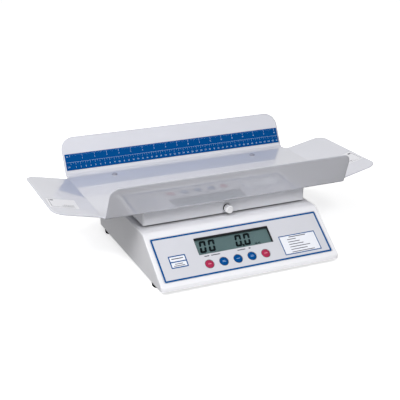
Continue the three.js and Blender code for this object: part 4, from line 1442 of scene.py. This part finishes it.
@dataclass
class Feet(Assembly):
    """The rubber feet under the base."""

    side: float = 163
    rows: dict[str, float] = field(default_factory=lambda: {"front": 45, "rear": 306})
    hollow: Point = (6, 6.8, 0.6)
    tread: float = 11.5
    rim: float = 1.5
    rim_points: int = 7
    upper: tuple[Pair, ...] = (
        (14, -0.7), (13.6, -GAP), (9, -GAP), (9, 0.3), (3, 0.3),
        (3, 2.9), (4.2, 2.9), (4.2, 3.4), (2, 5.9), (0, 5.9),
    )

    def profile(self) -> list[Pair]:
        """Gives the foot from its worn rim to the barb that holds it in the bottom plate.

        Returns:
            Pairs of (radius, height).
        """
        inner, outer, depth = self.hollow
        low = -SIZES.foot
        rim = [
            (self.tread + self.rim * math.sin(a), low + self.rim * (1 - math.cos(a)))
            for a in np.linspace(0, QUARTER, self.rim_points)
        ]
        return [(0, low + depth), (inner, low + depth), (outer, low), *rim, *self.upper]

    def build(self) -> None:
        """Builds the feet."""
        for row, y in self.rows.items():
            for side, x in (("left", -self.side), ("right", self.side)):
                foot = turned(self.profile()).shifted(x, y)
                self.add(f"rubber_foot_{row}_{side}", foot, RUBBER, f"foot_{row}_{side}")


@dataclass
class Cover(Assembly):
    """The platform cover on the load cell, with the screw holes for the tray."""

    body: str = "platform_and_tray"
    width: float = 330.3
    depth: float = 205.3
    low: float = 78
    height: float = 31.1
    wall: float = 2.5
    corner: float = 3.5
    corner_steps: int = 16
    edge: float = 3
    edge_points: int = 9
    rim: float = 0.3
    boss: float = 5
    boss_drop: float = 13
    boss_lap: float = 0.2
    screw_hole: float = 1.95
    screws_in: Pair = (13.15, 12)
    thumb_hole: float = 3.25
    thumb_z: float = 88
    overrun: float = 5

    @property
    def screw_places(self) -> list[Pair]:
        """Where the tray's screws go in, on the bench."""
        x, y = self.width / 2 - self.screws_in[0], self.depth / 2 - self.screws_in[1]
        return [(i * x, SIZES.platform_middle + j * y) for i in (-1, 1) for j in (-1, 1)]

    def build(self) -> None:
        """Builds the cover: its ceiling, inner wall, lower rim, outer wall and rounded top."""
        low, wall, rim, top = self.low, self.wall, self.rim, self.low + self.height
        ceiling, inner = top - wall, self.edge - wall
        turn = np.linspace(0, QUARTER, self.edge_points)
        bends = [(1 - math.sin(a), 1 - math.cos(a)) for a in turn]
        under = [(wall + inner * sine, ceiling - inner * cosine) for sine, cosine in bends]
        lower = [(wall, low + rim), (wall - rim, low), (rim, low), (0, low + rim)]
        over = [(self.edge * cosine, top - self.edge * sine) for sine, cosine in bends]
        outline = rectangle(self.width, self.depth, self.corner, self.corner_steps)
        shell = slab(outline, [*under, *lower, *over]).shifted(0, SIZES.platform_middle)
        boss = (self.boss, ceiling - self.boss_drop, ceiling + self.boss_lap)
        hole = (self.screw_hole, low, top + self.overrun)
        cuts = []
        for place in self.screw_places:
            cuts.append((Cut.ADD, drill(*boss, *place, HOLE_ROUND)))
            cuts.append((Cut.AWAY, drill(*hole, *place, HOLE_ROUND)))
        front = Frame((0, SIZES.platform_middle - self.depth / 2, self.thumb_z))
        tool = drill(self.thumb_hole, -wall - self.overrun, self.overrun, steps=HOLE_ROUND)
        cuts.append((Cut.AWAY, tool.placed(front)))
        self.add("platform_cover", carve(shell, cuts), COVER_WHITE, "platform")


@dataclass
class Thumbscrew:
    """The screw that locks the cover, and its washer, each on its own body."""

    face: float = 114.7
    z: float = 88
    radius: float = 7.3
    scallop: float = 0.6
    scallops: int = 10
    length: float = 12
    edge: float = 1.2
    outline_points: int = 160
    shank: float = 2.9
    thread: float = 0.28
    pitch: float = 1
    reach: float = 13.9
    sunk: float = 0.4
    thread_points: int = 120
    washer: Point = (3.25, 7.5, 2)
    washer_edge: float = 0.3

    def build(self) -> None:
        """Builds the washer, and the knob with its thread.

        The knob's outline is a circle less a cosine with one wave for each scallop.
        """
        hole, outer, thick = self.washer
        edge = self.washer_edge
        ring = [
            (hole, 0), (outer - edge, 0), (outer, edge),
            (outer, thick - edge), (outer - edge, thick), (hole, thick),
        ]
        back = self.face - GAP
        washer = turned(ring, closed=True)
        Assembly("screw_washer").add(
            "knob_washer", washer, BLACK, "thumbscrew_washer", frame=Frame((0, back, self.z)),
        )
        angle = np.linspace(0, 2 * math.pi, self.outline_points, endpoint=False)
        wave = np.cos(self.scallops * angle)
        outline = round_points(angle, self.radius - self.scallop * (1 + wave) / 2)
        knob = slab(outline, edged(0, self.length, self.edge))
        cut = (self.shank, self.thread, self.pitch)
        thread = threaded(*cut, -self.reach, self.sunk, self.thread_points)
        screw = turned([*thread, (0, self.sunk)], HOLE_ROUND)
        Assembly("locking_screw").add(
            "thumbscrew_knob", joined([knob, screw]), KNOB_WHITE, "thumbscrew",
            frame=Frame((0, back - thick - GAP, self.z)),
        )


@dataclass
class Tray(Assembly):
    """The tray: one sheet, bent along its front, its rear and both sides."""

    body: str = "platform_and_tray"
    fold_radius: float = 8
    wing_radius: float = 14
    half_width: float = 241
    front_turn: float = QUARTER - math.radians(21.7)
    front_length: float = 68.6
    front_top_half: float = 237
    front_corner: float = 18
    rear_turn: float = QUARTER - SIZES.rear_lean
    rear_corner: float = 27
    wing_turn: float = math.radians(12.4)
    wing_length: float = 87.5
    wing_front: float = 106
    wing_rear: float = 322.5
    wing_taper: float = 1.5
    wing_corner: float = 23
    notches: Pair = (10, 12)
    corner_steps: int = 14
    rim: float = 3.5
    floor_points: int = 24
    fold_points: int = 17
    wing_fold_points: int = 9
    wing_points: int = 8
    rim_points: int = 13
    labels: tuple[tuple[int, Pair, float], ...] = ((-1, (57.3, 165), 0.07), (1, (60, 174), 0.05))
    label_size: Pair = (52, 47)
    label_corner: float = 2
    label_thickness: float = 0.1
    label_rules: tuple[Edges, ...] = (
        (22, 0, 0.7, 40), (0, -19.5, 43, 0.7), (-8, -14, 22, 1.6), (-10, -8, 18, 1.2),
        (17, 16, 6, 5),
    )
    hole_overrun: Pair = (2, 6)
    head: Point = (5.5, 3, 0.8)
    head_power: float = 0.8
    head_points: int = 9
    shank: Point = (1.6, 16.6, 0.22)
    neck: float = 0.2
    pitch: float = 1.2
    thread_points: int = 110
    cross: Point = (3, 0.55, 1.4)

    def __post_init__(self) -> None:
        """Works out where each bend starts and stops, and where the flat sheet ends."""
        self.middle = (SIZES.front_fold + SIZES.rear_fold) / 2
        fold = self.fold_radius
        back = fold * math.tan(self.front_turn / 2)
        self.front_start = self.middle - SIZES.front_fold - back
        self.front_stop = self.front_start + fold * self.front_turn
        self.front_end = self.front_stop + self.front_length - back
        back = fold * math.tan(self.rear_turn / 2)
        self.rear_start = SIZES.rear_fold - self.middle - back
        self.rear_stop = self.rear_start + fold * self.rear_turn
        self.rear_end = self.rear_stop + SIZES.rear_length - back
        back = self.wing_radius * math.tan(self.wing_turn / 2)
        self.wing_stop = self.half_width + self.wing_radius * self.wing_turn
        self.wing_end = self.wing_stop + self.wing_length - back

    def half_outline(self) -> np.ndarray:
        """Gives the right half of the flat sheet's outline, inside its rim, front to rear.

        Returns:
            The points, without the two on the middle line.
        """
        far = self.rim
        low, high = far - self.front_end, self.rear_end - far
        side, tip = self.half_width - far, self.wing_end - far
        front, rear = self.wing_front - self.middle + far, self.wing_rear - self.middle - far
        points = rounded([
            (0, low),
            (self.front_top_half - far, low, self.front_corner - far),
            (side, SIZES.front_fold - self.middle),
            (side, front, self.notches[0] + far),
            (tip, front + self.wing_taper, self.wing_corner - far),
            (tip, rear - self.wing_taper, self.wing_corner - far),
            (side, rear, self.notches[1] + far),
            (side, high, self.rear_corner - far),
            (0, high),
        ], self.corner_steps)
        return points[1:-1]

    def bend(self, past: np.ndarray, turn: float, radius: float) -> tuple[np.ndarray, ...]:
        """Gives how far across and up the sheet lies at a distance past the start of a bend.

        On the bend it follows a circle: across is the radius times the sine of the tilt, and
        up is the radius less its cosine. Past it, it goes straight on at the full turn.

        Args:
            past: Distances along the flat sheet from the bend's start.
            turn: The bend's whole angle.
            radius: The bend's radius.

        Returns:
            Across, up and tilt.
        """
        tilt = np.clip(past / radius, 0, turn)
        rest = np.maximum(past - radius * turn, 0)
        across = radius * np.sin(tilt) + rest * math.cos(turn) + np.minimum(past, 0)
        return across, radius * (1 - np.cos(tilt)) + rest * math.sin(turn), tilt

    def shaped(self, flat: np.ndarray) -> np.ndarray:
        """Bends points of the flat sheet: the wings' bend and the panels' bend are added.

        Args:
            flat: Points as (across, along, height above the sheet's lower face).

        Returns:
            The same points on the bench, the height stepped off along the sheet's normal.
        """
        u, v, depth = flat.T
        out, rise, tilt_x = self.bend(np.abs(u) - self.half_width, self.wing_turn, self.wing_radius)
        front = self.bend(-v - self.front_start, self.front_turn, self.fold_radius)
        rear = self.bend(v - self.rear_start, self.rear_turn, self.fold_radius)
        along, up, tilt_y = (np.where(v < 0, a, b) for a, b in zip(front, rear))
        start = np.where(v < 0, self.front_start, self.rear_start)
        tilt_x, tilt_y = tilt_x * np.sign(u), tilt_y * np.sign(v)
        (cos_x, sin_x), (cos_y, sin_y) = round_points(tilt_x).T, round_points(tilt_y).T
        normal = np.stack([-sin_x * cos_y, -cos_x * sin_y, cos_x * cos_y], axis=-1)
        normal /= np.linalg.norm(normal, axis=1, keepdims=True)
        x, y = np.sign(u) * (self.half_width + out), np.sign(v) * (start + along)
        base = np.stack([x, y, rise + up], axis=-1)
        return base + normal * depth[:, None] + (0, self.middle, SIZES.tray_low)

    def sheet(self) -> Mesh:
        """Gives the bent sheet, its cut edge rounded.

        The flat part is a grid of stations across and along, held inside its outline. The
        rim is a half ellipse carried round outside it. All of it is bent by one formula.

        Returns:
            The closed sheet.
        """
        edge = self.half_outline()
        bends = np.concatenate([
            -np.linspace(self.front_start, self.front_stop, self.fold_points),
            np.linspace(self.rear_start, self.rear_stop, self.fold_points),
            np.linspace(-self.front_start, self.rear_start, self.floor_points),
        ])
        rows = np.unique(np.round(np.concatenate([edge[:, 1], bends]), decimals=4))
        across = np.concatenate([
            np.linspace(0, self.half_width, self.floor_points)[:-1],
            np.linspace(self.half_width, self.wing_stop, self.wing_fold_points),
            np.linspace(self.wing_stop, self.wing_end, self.wing_points)[1:],
        ])
        order = np.argsort(edge[:, 1], kind="stable")
        half = np.interp(rows, edge[order, 1], edge[order, 0])
        v, u = np.meshgrid(rows, np.concatenate([-across[:0:-1], across]), indexing="ij")
        u = np.clip(u, -half[:, None], half[:, None])
        index = np.arange(u.size).reshape(u.shape)
        loop = np.concatenate([index[0, :-1], index[:-1, -1], index[-1, :0:-1], index[:0:-1, 0]])
        flat = np.stack([u.ravel(), v.ravel()], axis=-1)
        ring = flat[loop]
        ring = ring[np.linalg.norm(ring - np.roll(ring, 1, axis=0), axis=1) > SAME]
        outer = inset(ring, -self.rim)
        half_sheet = SIZES.sheet / 2
        rings = [
            at_height(ring + (outer - ring) * math.cos(a), half_sheet * (1 + math.sin(a)))
            for a in np.linspace(QUARTER, -QUARTER, self.rim_points)
        ]
        quads = np.array(grid_faces(*u.shape))
        rim = np.array(grid_faces(len(rings), len(ring), closed=True))[:, ::-1] + 2 * len(flat)
        faces = quads.tolist() + (quads[:, ::-1] + len(flat)).tolist() + rim.tolist()
        levels = [at_height(flat, SIZES.sheet), at_height(flat, 0), *rings]
        return Mesh(self.shaped(np.concatenate(levels)), [tuple(face) for face in faces])

    def label(self, outline: np.ndarray, side: int, low: float, high: float) -> Mesh:
        """Lays a flat outline on a wing, bent with the sheet.

        Args:
            outline: The outline, as distances out past the fold and along from the front.
            side: -1 for the left wing, 1 for the right one.
            low: Lower face, above the sheet.
            high: Upper face, above the sheet.

        Returns:
            The closed mesh on the bench.
        """
        flat = plate(outline, SIZES.sheet + low, SIZES.sheet + high)
        points = flat.points * (side, 1, 1) + (side * self.half_width, -self.middle, 0)
        return Mesh(self.shaped(points), flat.faces)

    def build_labels(self) -> None:
        """Lays a blank label with plain rules on each wing."""
        fields, rules = [], []
        thick = self.label_thickness
        for side, place, turn in self.labels:
            cosine, sine = math.cos(turn), math.sin(turn)
            axes = np.array([[cosine, sine], [-sine, cosine]])
            outline = rectangle(*self.label_size, self.label_corner, SMALL_ARC) @ axes + place
            fields.append(self.label(outline, side, 0, thick))
            for x, y, long, wide in self.label_rules:
                rule = (rectangle(long, wide) + (x, y)) @ axes + place
                rules.append(self.label(rule, side, thick, thick + PRINT))
        self.add("wing_labels", joined(fields), LABEL_WHITE)
        self.add("wing_label_rules", joined(rules), LABEL_GREY)

    def build(self, cover: Cover) -> None:
        """Builds the sheet, its blank labels and its screws.

        Args:
            cover: The cover, which knows where the screws go.
        """
        self.build_labels()
        below, above = self.hole_overrun
        hole = (cover.screw_hole, SIZES.tray_low - below, SIZES.tray_low + above)
        holes = [(Cut.AWAY, drill(*hole, *place, HOLE_ROUND)) for place in cover.screw_places]
        self.add("tray_sheet", carve(self.sheet(), holes), SHEET, "tray", smooth=24)
        for i, (x, y) in enumerate(cover.screw_places, 1):
            screw = self.screw().shifted(x, y, SIZES.tray_low + SIZES.sheet + GAP)
            self.add(f"cross_screw_{i}", screw, NYLON, f"tray_screw_{i}")

    def screw(self) -> Mesh:
        """Gives a tray screw: a threaded shank and a domed head with a cross recess.

        The head's radius falls with the cosine of its tilt, raised to a power below one.

        Returns:
            The screw, its head's lower face at height 0.
        """
        radius, height, edge = self.head
        crown = [
            (radius * math.cos(a) ** self.head_power, edge + (height - edge) * math.sin(a))
            for a in np.linspace(0, QUARTER, self.head_points)[:-1]
        ]
        core, reach, depth = self.shank
        thread = threaded(core, depth, self.pitch, -reach, -self.neck, self.thread_points)
        profile = [*thread, (core, 0), (radius, 0), *crown, (0, height)]
        long, wide, low = self.cross
        above = height + OVERRUN
        slots = [bars([(-x, -y, x, y)], low, above) for x, y in ((long, wide), (wide, long))]
        return carve(turned(profile, SMALL_ROUND), [(Cut.AWAY, slot) for slot in slots])


@dataclass
class Strip(Assembly):
    """The measuring strip on the rear panel, with inches above and centimetres below."""

    body: str = "platform_and_tray"
    length: float = 474
    width: float = 32.6
    up: float = 9.8
    corner: float = 0.8
    thickness: float = 0.5
    edge: float = 0.15
    inch: float = 25.4
    first_inch: float = -201.7
    inches: int = 18
    inch_parts: int = 8
    inch_ticks: tuple[Pair, ...] = ((5.6, 0.2), (3.8, 0.08), (2.4, 0.08))
    centimetre: float = 10
    cm_ticks: Pair = (5.2, 3)
    cm_half: float = 0.12
    margin: Pair = (0.4, 0.9)
    middle_line: Pair = (15.6, 15.9)
    inch_words: Pair = (10, 2.8)
    cm_words: Pair = (5.4, 3.2)
    unit_words: tuple[float, float, float, float] = (5, 5, 6.2, 2.6)

    def build(self) -> None:
        """Builds the strip and its printed marks and numerals."""
        low = SIZES.sheet + GAP
        top = low + self.thickness
        outline = rectangle(self.length, self.width, self.corner, SMALL_ARC)
        strip = slab(outline, edged(low, top, self.edge, 0, steps=3))
        strip = strip.shifted(0, self.up + self.width / 2)
        self.lay("tape_strip", strip, STRIP_BLUE, "measuring_strip")
        self.lay("tape_marks", bars(self.ticks(), top, top + PRINT), STRIP_WHITE)
        self.lay("tape_numerals", lettering(self.words(), top, top + PRINT), STRIP_WHITE)

    def lay(self, name: str, mesh: Mesh, finish: Finish, *replaces: str) -> None:
        """Adds a piece that is drawn in the rear panel's own frame."""
        self.add(name, mesh, finish, *replaces, frame=SIZES.rear_panel)

    @property
    def start(self) -> float:
        """Where the tape's zero is across the panel."""
        return self.first_inch - self.inch

    @property
    def centimetres(self) -> int:
        """How many whole centimetres the tape shows."""
        return int((self.length / 2 - self.margin[0] - self.start) / self.centimetre)

    def ticks(self) -> list[Edges]:
        """Gives the middle line, the eighths of an inch at the top and the half centimetres below.

        Returns:
            The edges of each mark.
        """
        half, high = self.length / 2 - self.margin[0], self.up + self.width - self.margin[1]
        low, line = (self.up + part for part in self.middle_line)
        marks = [(-half, low, half, line)]
        parts = self.inch_parts
        for i in range(self.inches * parts + 1):
            x = self.start + i * self.inch / parts
            reach, wide = self.inch_ticks[0 if i % parts == 0 else 1 if 2 * i % parts == 0 else 2]
            marks.append((x - wide, high - reach, x + wide, high))
        for i in range(self.centimetres * 2 + 1):
            x = self.start + i * self.centimetre / 2
            marks.append((x - self.cm_half, low - self.cm_ticks[i % 2], x + self.cm_half, low))
        return marks

    def words(self) -> list[tuple[str, float, float, float]]:
        """Gives the numerals and the two units.

        Returns:
            For each, what it says, its middle, and the height of its letters.
        """
        low, high = self.up, self.up + self.width
        words = []
        fall, size = self.inch_words
        for i in range(self.inches):
            words.append((str(i + 1), self.first_inch + i * self.inch, high - fall, size))
        rise, size = self.cm_words
        for i in range(1, self.centimetres + 1):
            words.append((str(i), self.start + i * self.centimetre, low + rise, size))
        before, fall, rise, size = self.unit_words
        x = self.start - before
        return [*words, ("IN", x, high - fall, size), ("CM", x, low + rise, size)]


# The nodes that stay as the frame has them

CARRIED: dict[Finish, tuple[str, ...]] = {
    ZINC: ("bottom_pan", "base_screw", "board_screw", "battery_cover_screw", "spider"),
    GLASS: ("lcd_module",),
    BLACK: ("lcd_frame", "dc_inlet", "battery_holder", "battery_cover"),
    GREEN: ("display_board", "main_board"),
    RIBBON: ("ribbon_cable",),
    JACKET: ("battery_",),
    STEEL: (
        "dc_inlet_nut", "contact_plate", "load_cell_screw", "riser_screw", "overload_stop",
        "spider_screw", "thumbscrew_nut",
    ),
    ALUMINIUM: ("load_cell", "platform_riser"),
    RUBBER: ("platform_pad",),
}


def dress_carried(nodes: dict[str, bpy.types.Object]) -> None:
    """Gives every CAD node that still shows its finish, by the longest name that fits.

    Args:
        nodes: The frame's nodes by name.
    """
    finishes = {start: finish for finish, starts in CARRIED.items() for start in starts}
    for name, node in nodes.items():
        fits = [start for start in finishes if name.startswith(start)]
        if not fits:
            continue
        finish = finishes[max(fits, key=len)]
        node.data.materials.clear()
        node.data.materials.append(finish.material())
        LOG.info("%s: carried over in %s", name, finish.name)


# Studio


@dataclass(frozen=True)
class Glow:
    """A soft patch of the room's light: full within one angle of its direction, gone at another."""

    toward: Point
    strength: float
    full: float
    gone: float


@dataclass(frozen=True)
class Lamp:
    """A soft light: where it is, what it faces, its size in metres and its power in watts."""

    name: str
    place: Point
    toward: Point
    size: Pair
    power: float

    def build(self) -> None:
        """Sets up the light, so that neither the camera nor a mirror sees it."""
        data = bpy.data.lights.new(self.name, "AREA")
        data.shape, data.energy = "RECTANGLE", self.power
        data.size, data.size_y = self.size
        lamp = in_scene(self.name, data)
        lamp.visible_glossy = lamp.visible_camera = False
        lamp.matrix_world = aimed(self.place, np.subtract(self.place, self.toward), (0, 0, 1))


def aimed(place: Point, back: np.ndarray, up: Point) -> Matrix:
    """Turns a camera or a lamp, which looks along its own -Z, and puts it in its place.

    Its X is the product of the upward line and the line back, and its Y that of back and X.

    Args:
        place: Where it is, in metres.
        back: The line from what it looks at to itself.
        up: A line that points roughly up.

    Returns:
        The matrix.
    """
    back = back / np.linalg.norm(back)
    right = np.cross(up, back)
    right /= np.linalg.norm(right)
    matrix = np.eye(4)
    matrix[:3, :3] = np.stack([right, np.cross(back, right), back], axis=-1)
    matrix[:3, 3] = place
    return Matrix(matrix.tolist())


@dataclass
class Studio:
    """A pale floor, soft lights and the camera."""

    eye: Point = (-0.6469, -1.40396, 0.6742)
    look: Point = (0.3807, 0.8532, -0.3566)
    up: Point = (0.1453, 0.3256, 0.9343)
    lens: float = 76.96
    film_width: float = 36
    floor_glow: float = 0.62
    wall_glow: float = 1
    reach: float = 20
    white: Colour = (0.96, 0.96, 0.96)
    sky: float = 0.16
    glows: tuple[Glow, ...] = (
        Glow((0.38, 0.85, 0.3), 0.58, 16, 42),
        Glow((0.38, -0.78, 0.5), 0.52, 12, 30),
        Glow((0.38, -0.38, -0.85), 0.35, 12, 30),
        Glow((-0.93, -0.3, 0.2), 0.68, 20, 60),
    )
    lamps: tuple[Lamp, ...] = (
        Lamp("key_light", (-1.25, -0.9, 2.1), (0, 0, 0.08), (1.3, 1.3), 45),
        Lamp("fill_light", (0.2, -1.9, 1.9), (0, 0, 0.08), (0.5, 0.5), 13),
        Lamp("floor_bounce", (0, -0.222, 0.002), (0, -0.223, 1), (0.36, 0.06), 0.062),
    )

    def build(self) -> None:
        """Builds the studio."""
        data = bpy.data.cameras.new("camera")
        data.lens, data.sensor_width = self.lens, self.film_width
        camera = in_scene("camera", data)
        camera.matrix_world = aimed(self.eye, -np.array(self.look), self.up)
        bpy.context.scene.camera = camera
        self.build_floor()
        self.build_sky()
        for lamp in self.lamps:
            lamp.build()

    def sheet(self, name: str, corners: list[Point], faces: Faces, glow: float) -> bpy.types.Object:
        """Makes a plain white surface of the studio that lights nothing else.

        Args:
            name: Its name.
            corners: Its corners, in metres.
            faces: Its faces.
            glow: How bright it is by itself.

        Returns:
            The object.
        """
        data = bpy.data.meshes.new(name)
        data.from_pydata(corners, [], faces)
        piece = in_scene(name, data)
        shader = Shader(f"studio_{name}")
        shader.put(Base_Color=(*self.white, 1), Roughness=0.9, Specular_IOR_Level=0.1)
        shader.put(Emission_Color=(1, 1, 1, 1), Emission_Strength=glow)
        data.materials.append(shader.material)
        piece.visible_diffuse = piece.visible_glossy = False
        return piece

    def build_floor(self) -> None:
        """Lays the floor, and stands a white wall far round it that only the camera sees."""
        far = self.reach
        low = [(-far, -far, 0), (far, -far, 0), (far, far, 0), (-far, far, 0)]
        self.sheet("floor", low, [(0, 1, 2, 3)], self.floor_glow)
        high = [(x, y, far) for x, y, _ in low]
        sides = [(i, i + 4, (i + 1) % 4 + 4, (i + 1) % 4) for i in range(4)]
        wall = self.sheet("wall", low + high, sides, self.wall_glow)
        wall.visible_shadow = wall.visible_transmission = False

    def build_sky(self) -> None:
        """Gives the room its white light: one even light, with each glow added to it."""
        world = bpy.data.worlds.new("studio")
        world.use_nodes = True
        nodes, links = world.node_tree.nodes, world.node_tree.links
        total = None
        toward = nodes.new("ShaderNodeTexCoord").outputs["Generated"]
        for glow in self.glows:
            dot = nodes.new("ShaderNodeVectorMath")
            dot.operation = "DOT_PRODUCT"
            dot.inputs[1].default_value = Vector(glow.toward).normalized()
            links.new(toward, dot.inputs[0])
            fade = nodes.new("ShaderNodeMapRange")
            fade.interpolation_type = "SMOOTHSTEP"
            fade.inputs["From Min"].default_value = math.cos(math.radians(glow.gone))
            fade.inputs["From Max"].default_value = math.cos(math.radians(glow.full))
            fade.inputs["To Max"].default_value = glow.strength
            links.new(dot.outputs["Value"], fade.inputs["Value"])
            plus = nodes.new("ShaderNodeMath")
            plus.inputs[1].default_value = self.sky
            links.new(fade.outputs["Result"], plus.inputs[0])
            if total is not None:
                links.new(total, plus.inputs[1])
            total = plus.outputs["Value"]
        nodes["Background"].inputs["Color"].default_value = (1, 1, 1, 1)
        links.new(total, nodes["Background"].inputs["Strength"])
        bpy.context.scene.world = world
        bpy.context.scene.view_settings.view_transform = "Standard"


def main() -> None:
    """Builds the scale and its studio."""
    logging.basicConfig(level=logging.INFO, format="%(message)s")
    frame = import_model()
    Studio().build()
    panel = Panel()
    Housing().build(panel)
    panel.build()
    Keys(panel).build()
    Feet().build()
    cover = Cover()
    cover.build()
    Thumbscrew().build()
    Tray().build(cover)
    Strip().build()
    dress_carried(frame["nodes"])


if __name__ == "__main__":
    main()
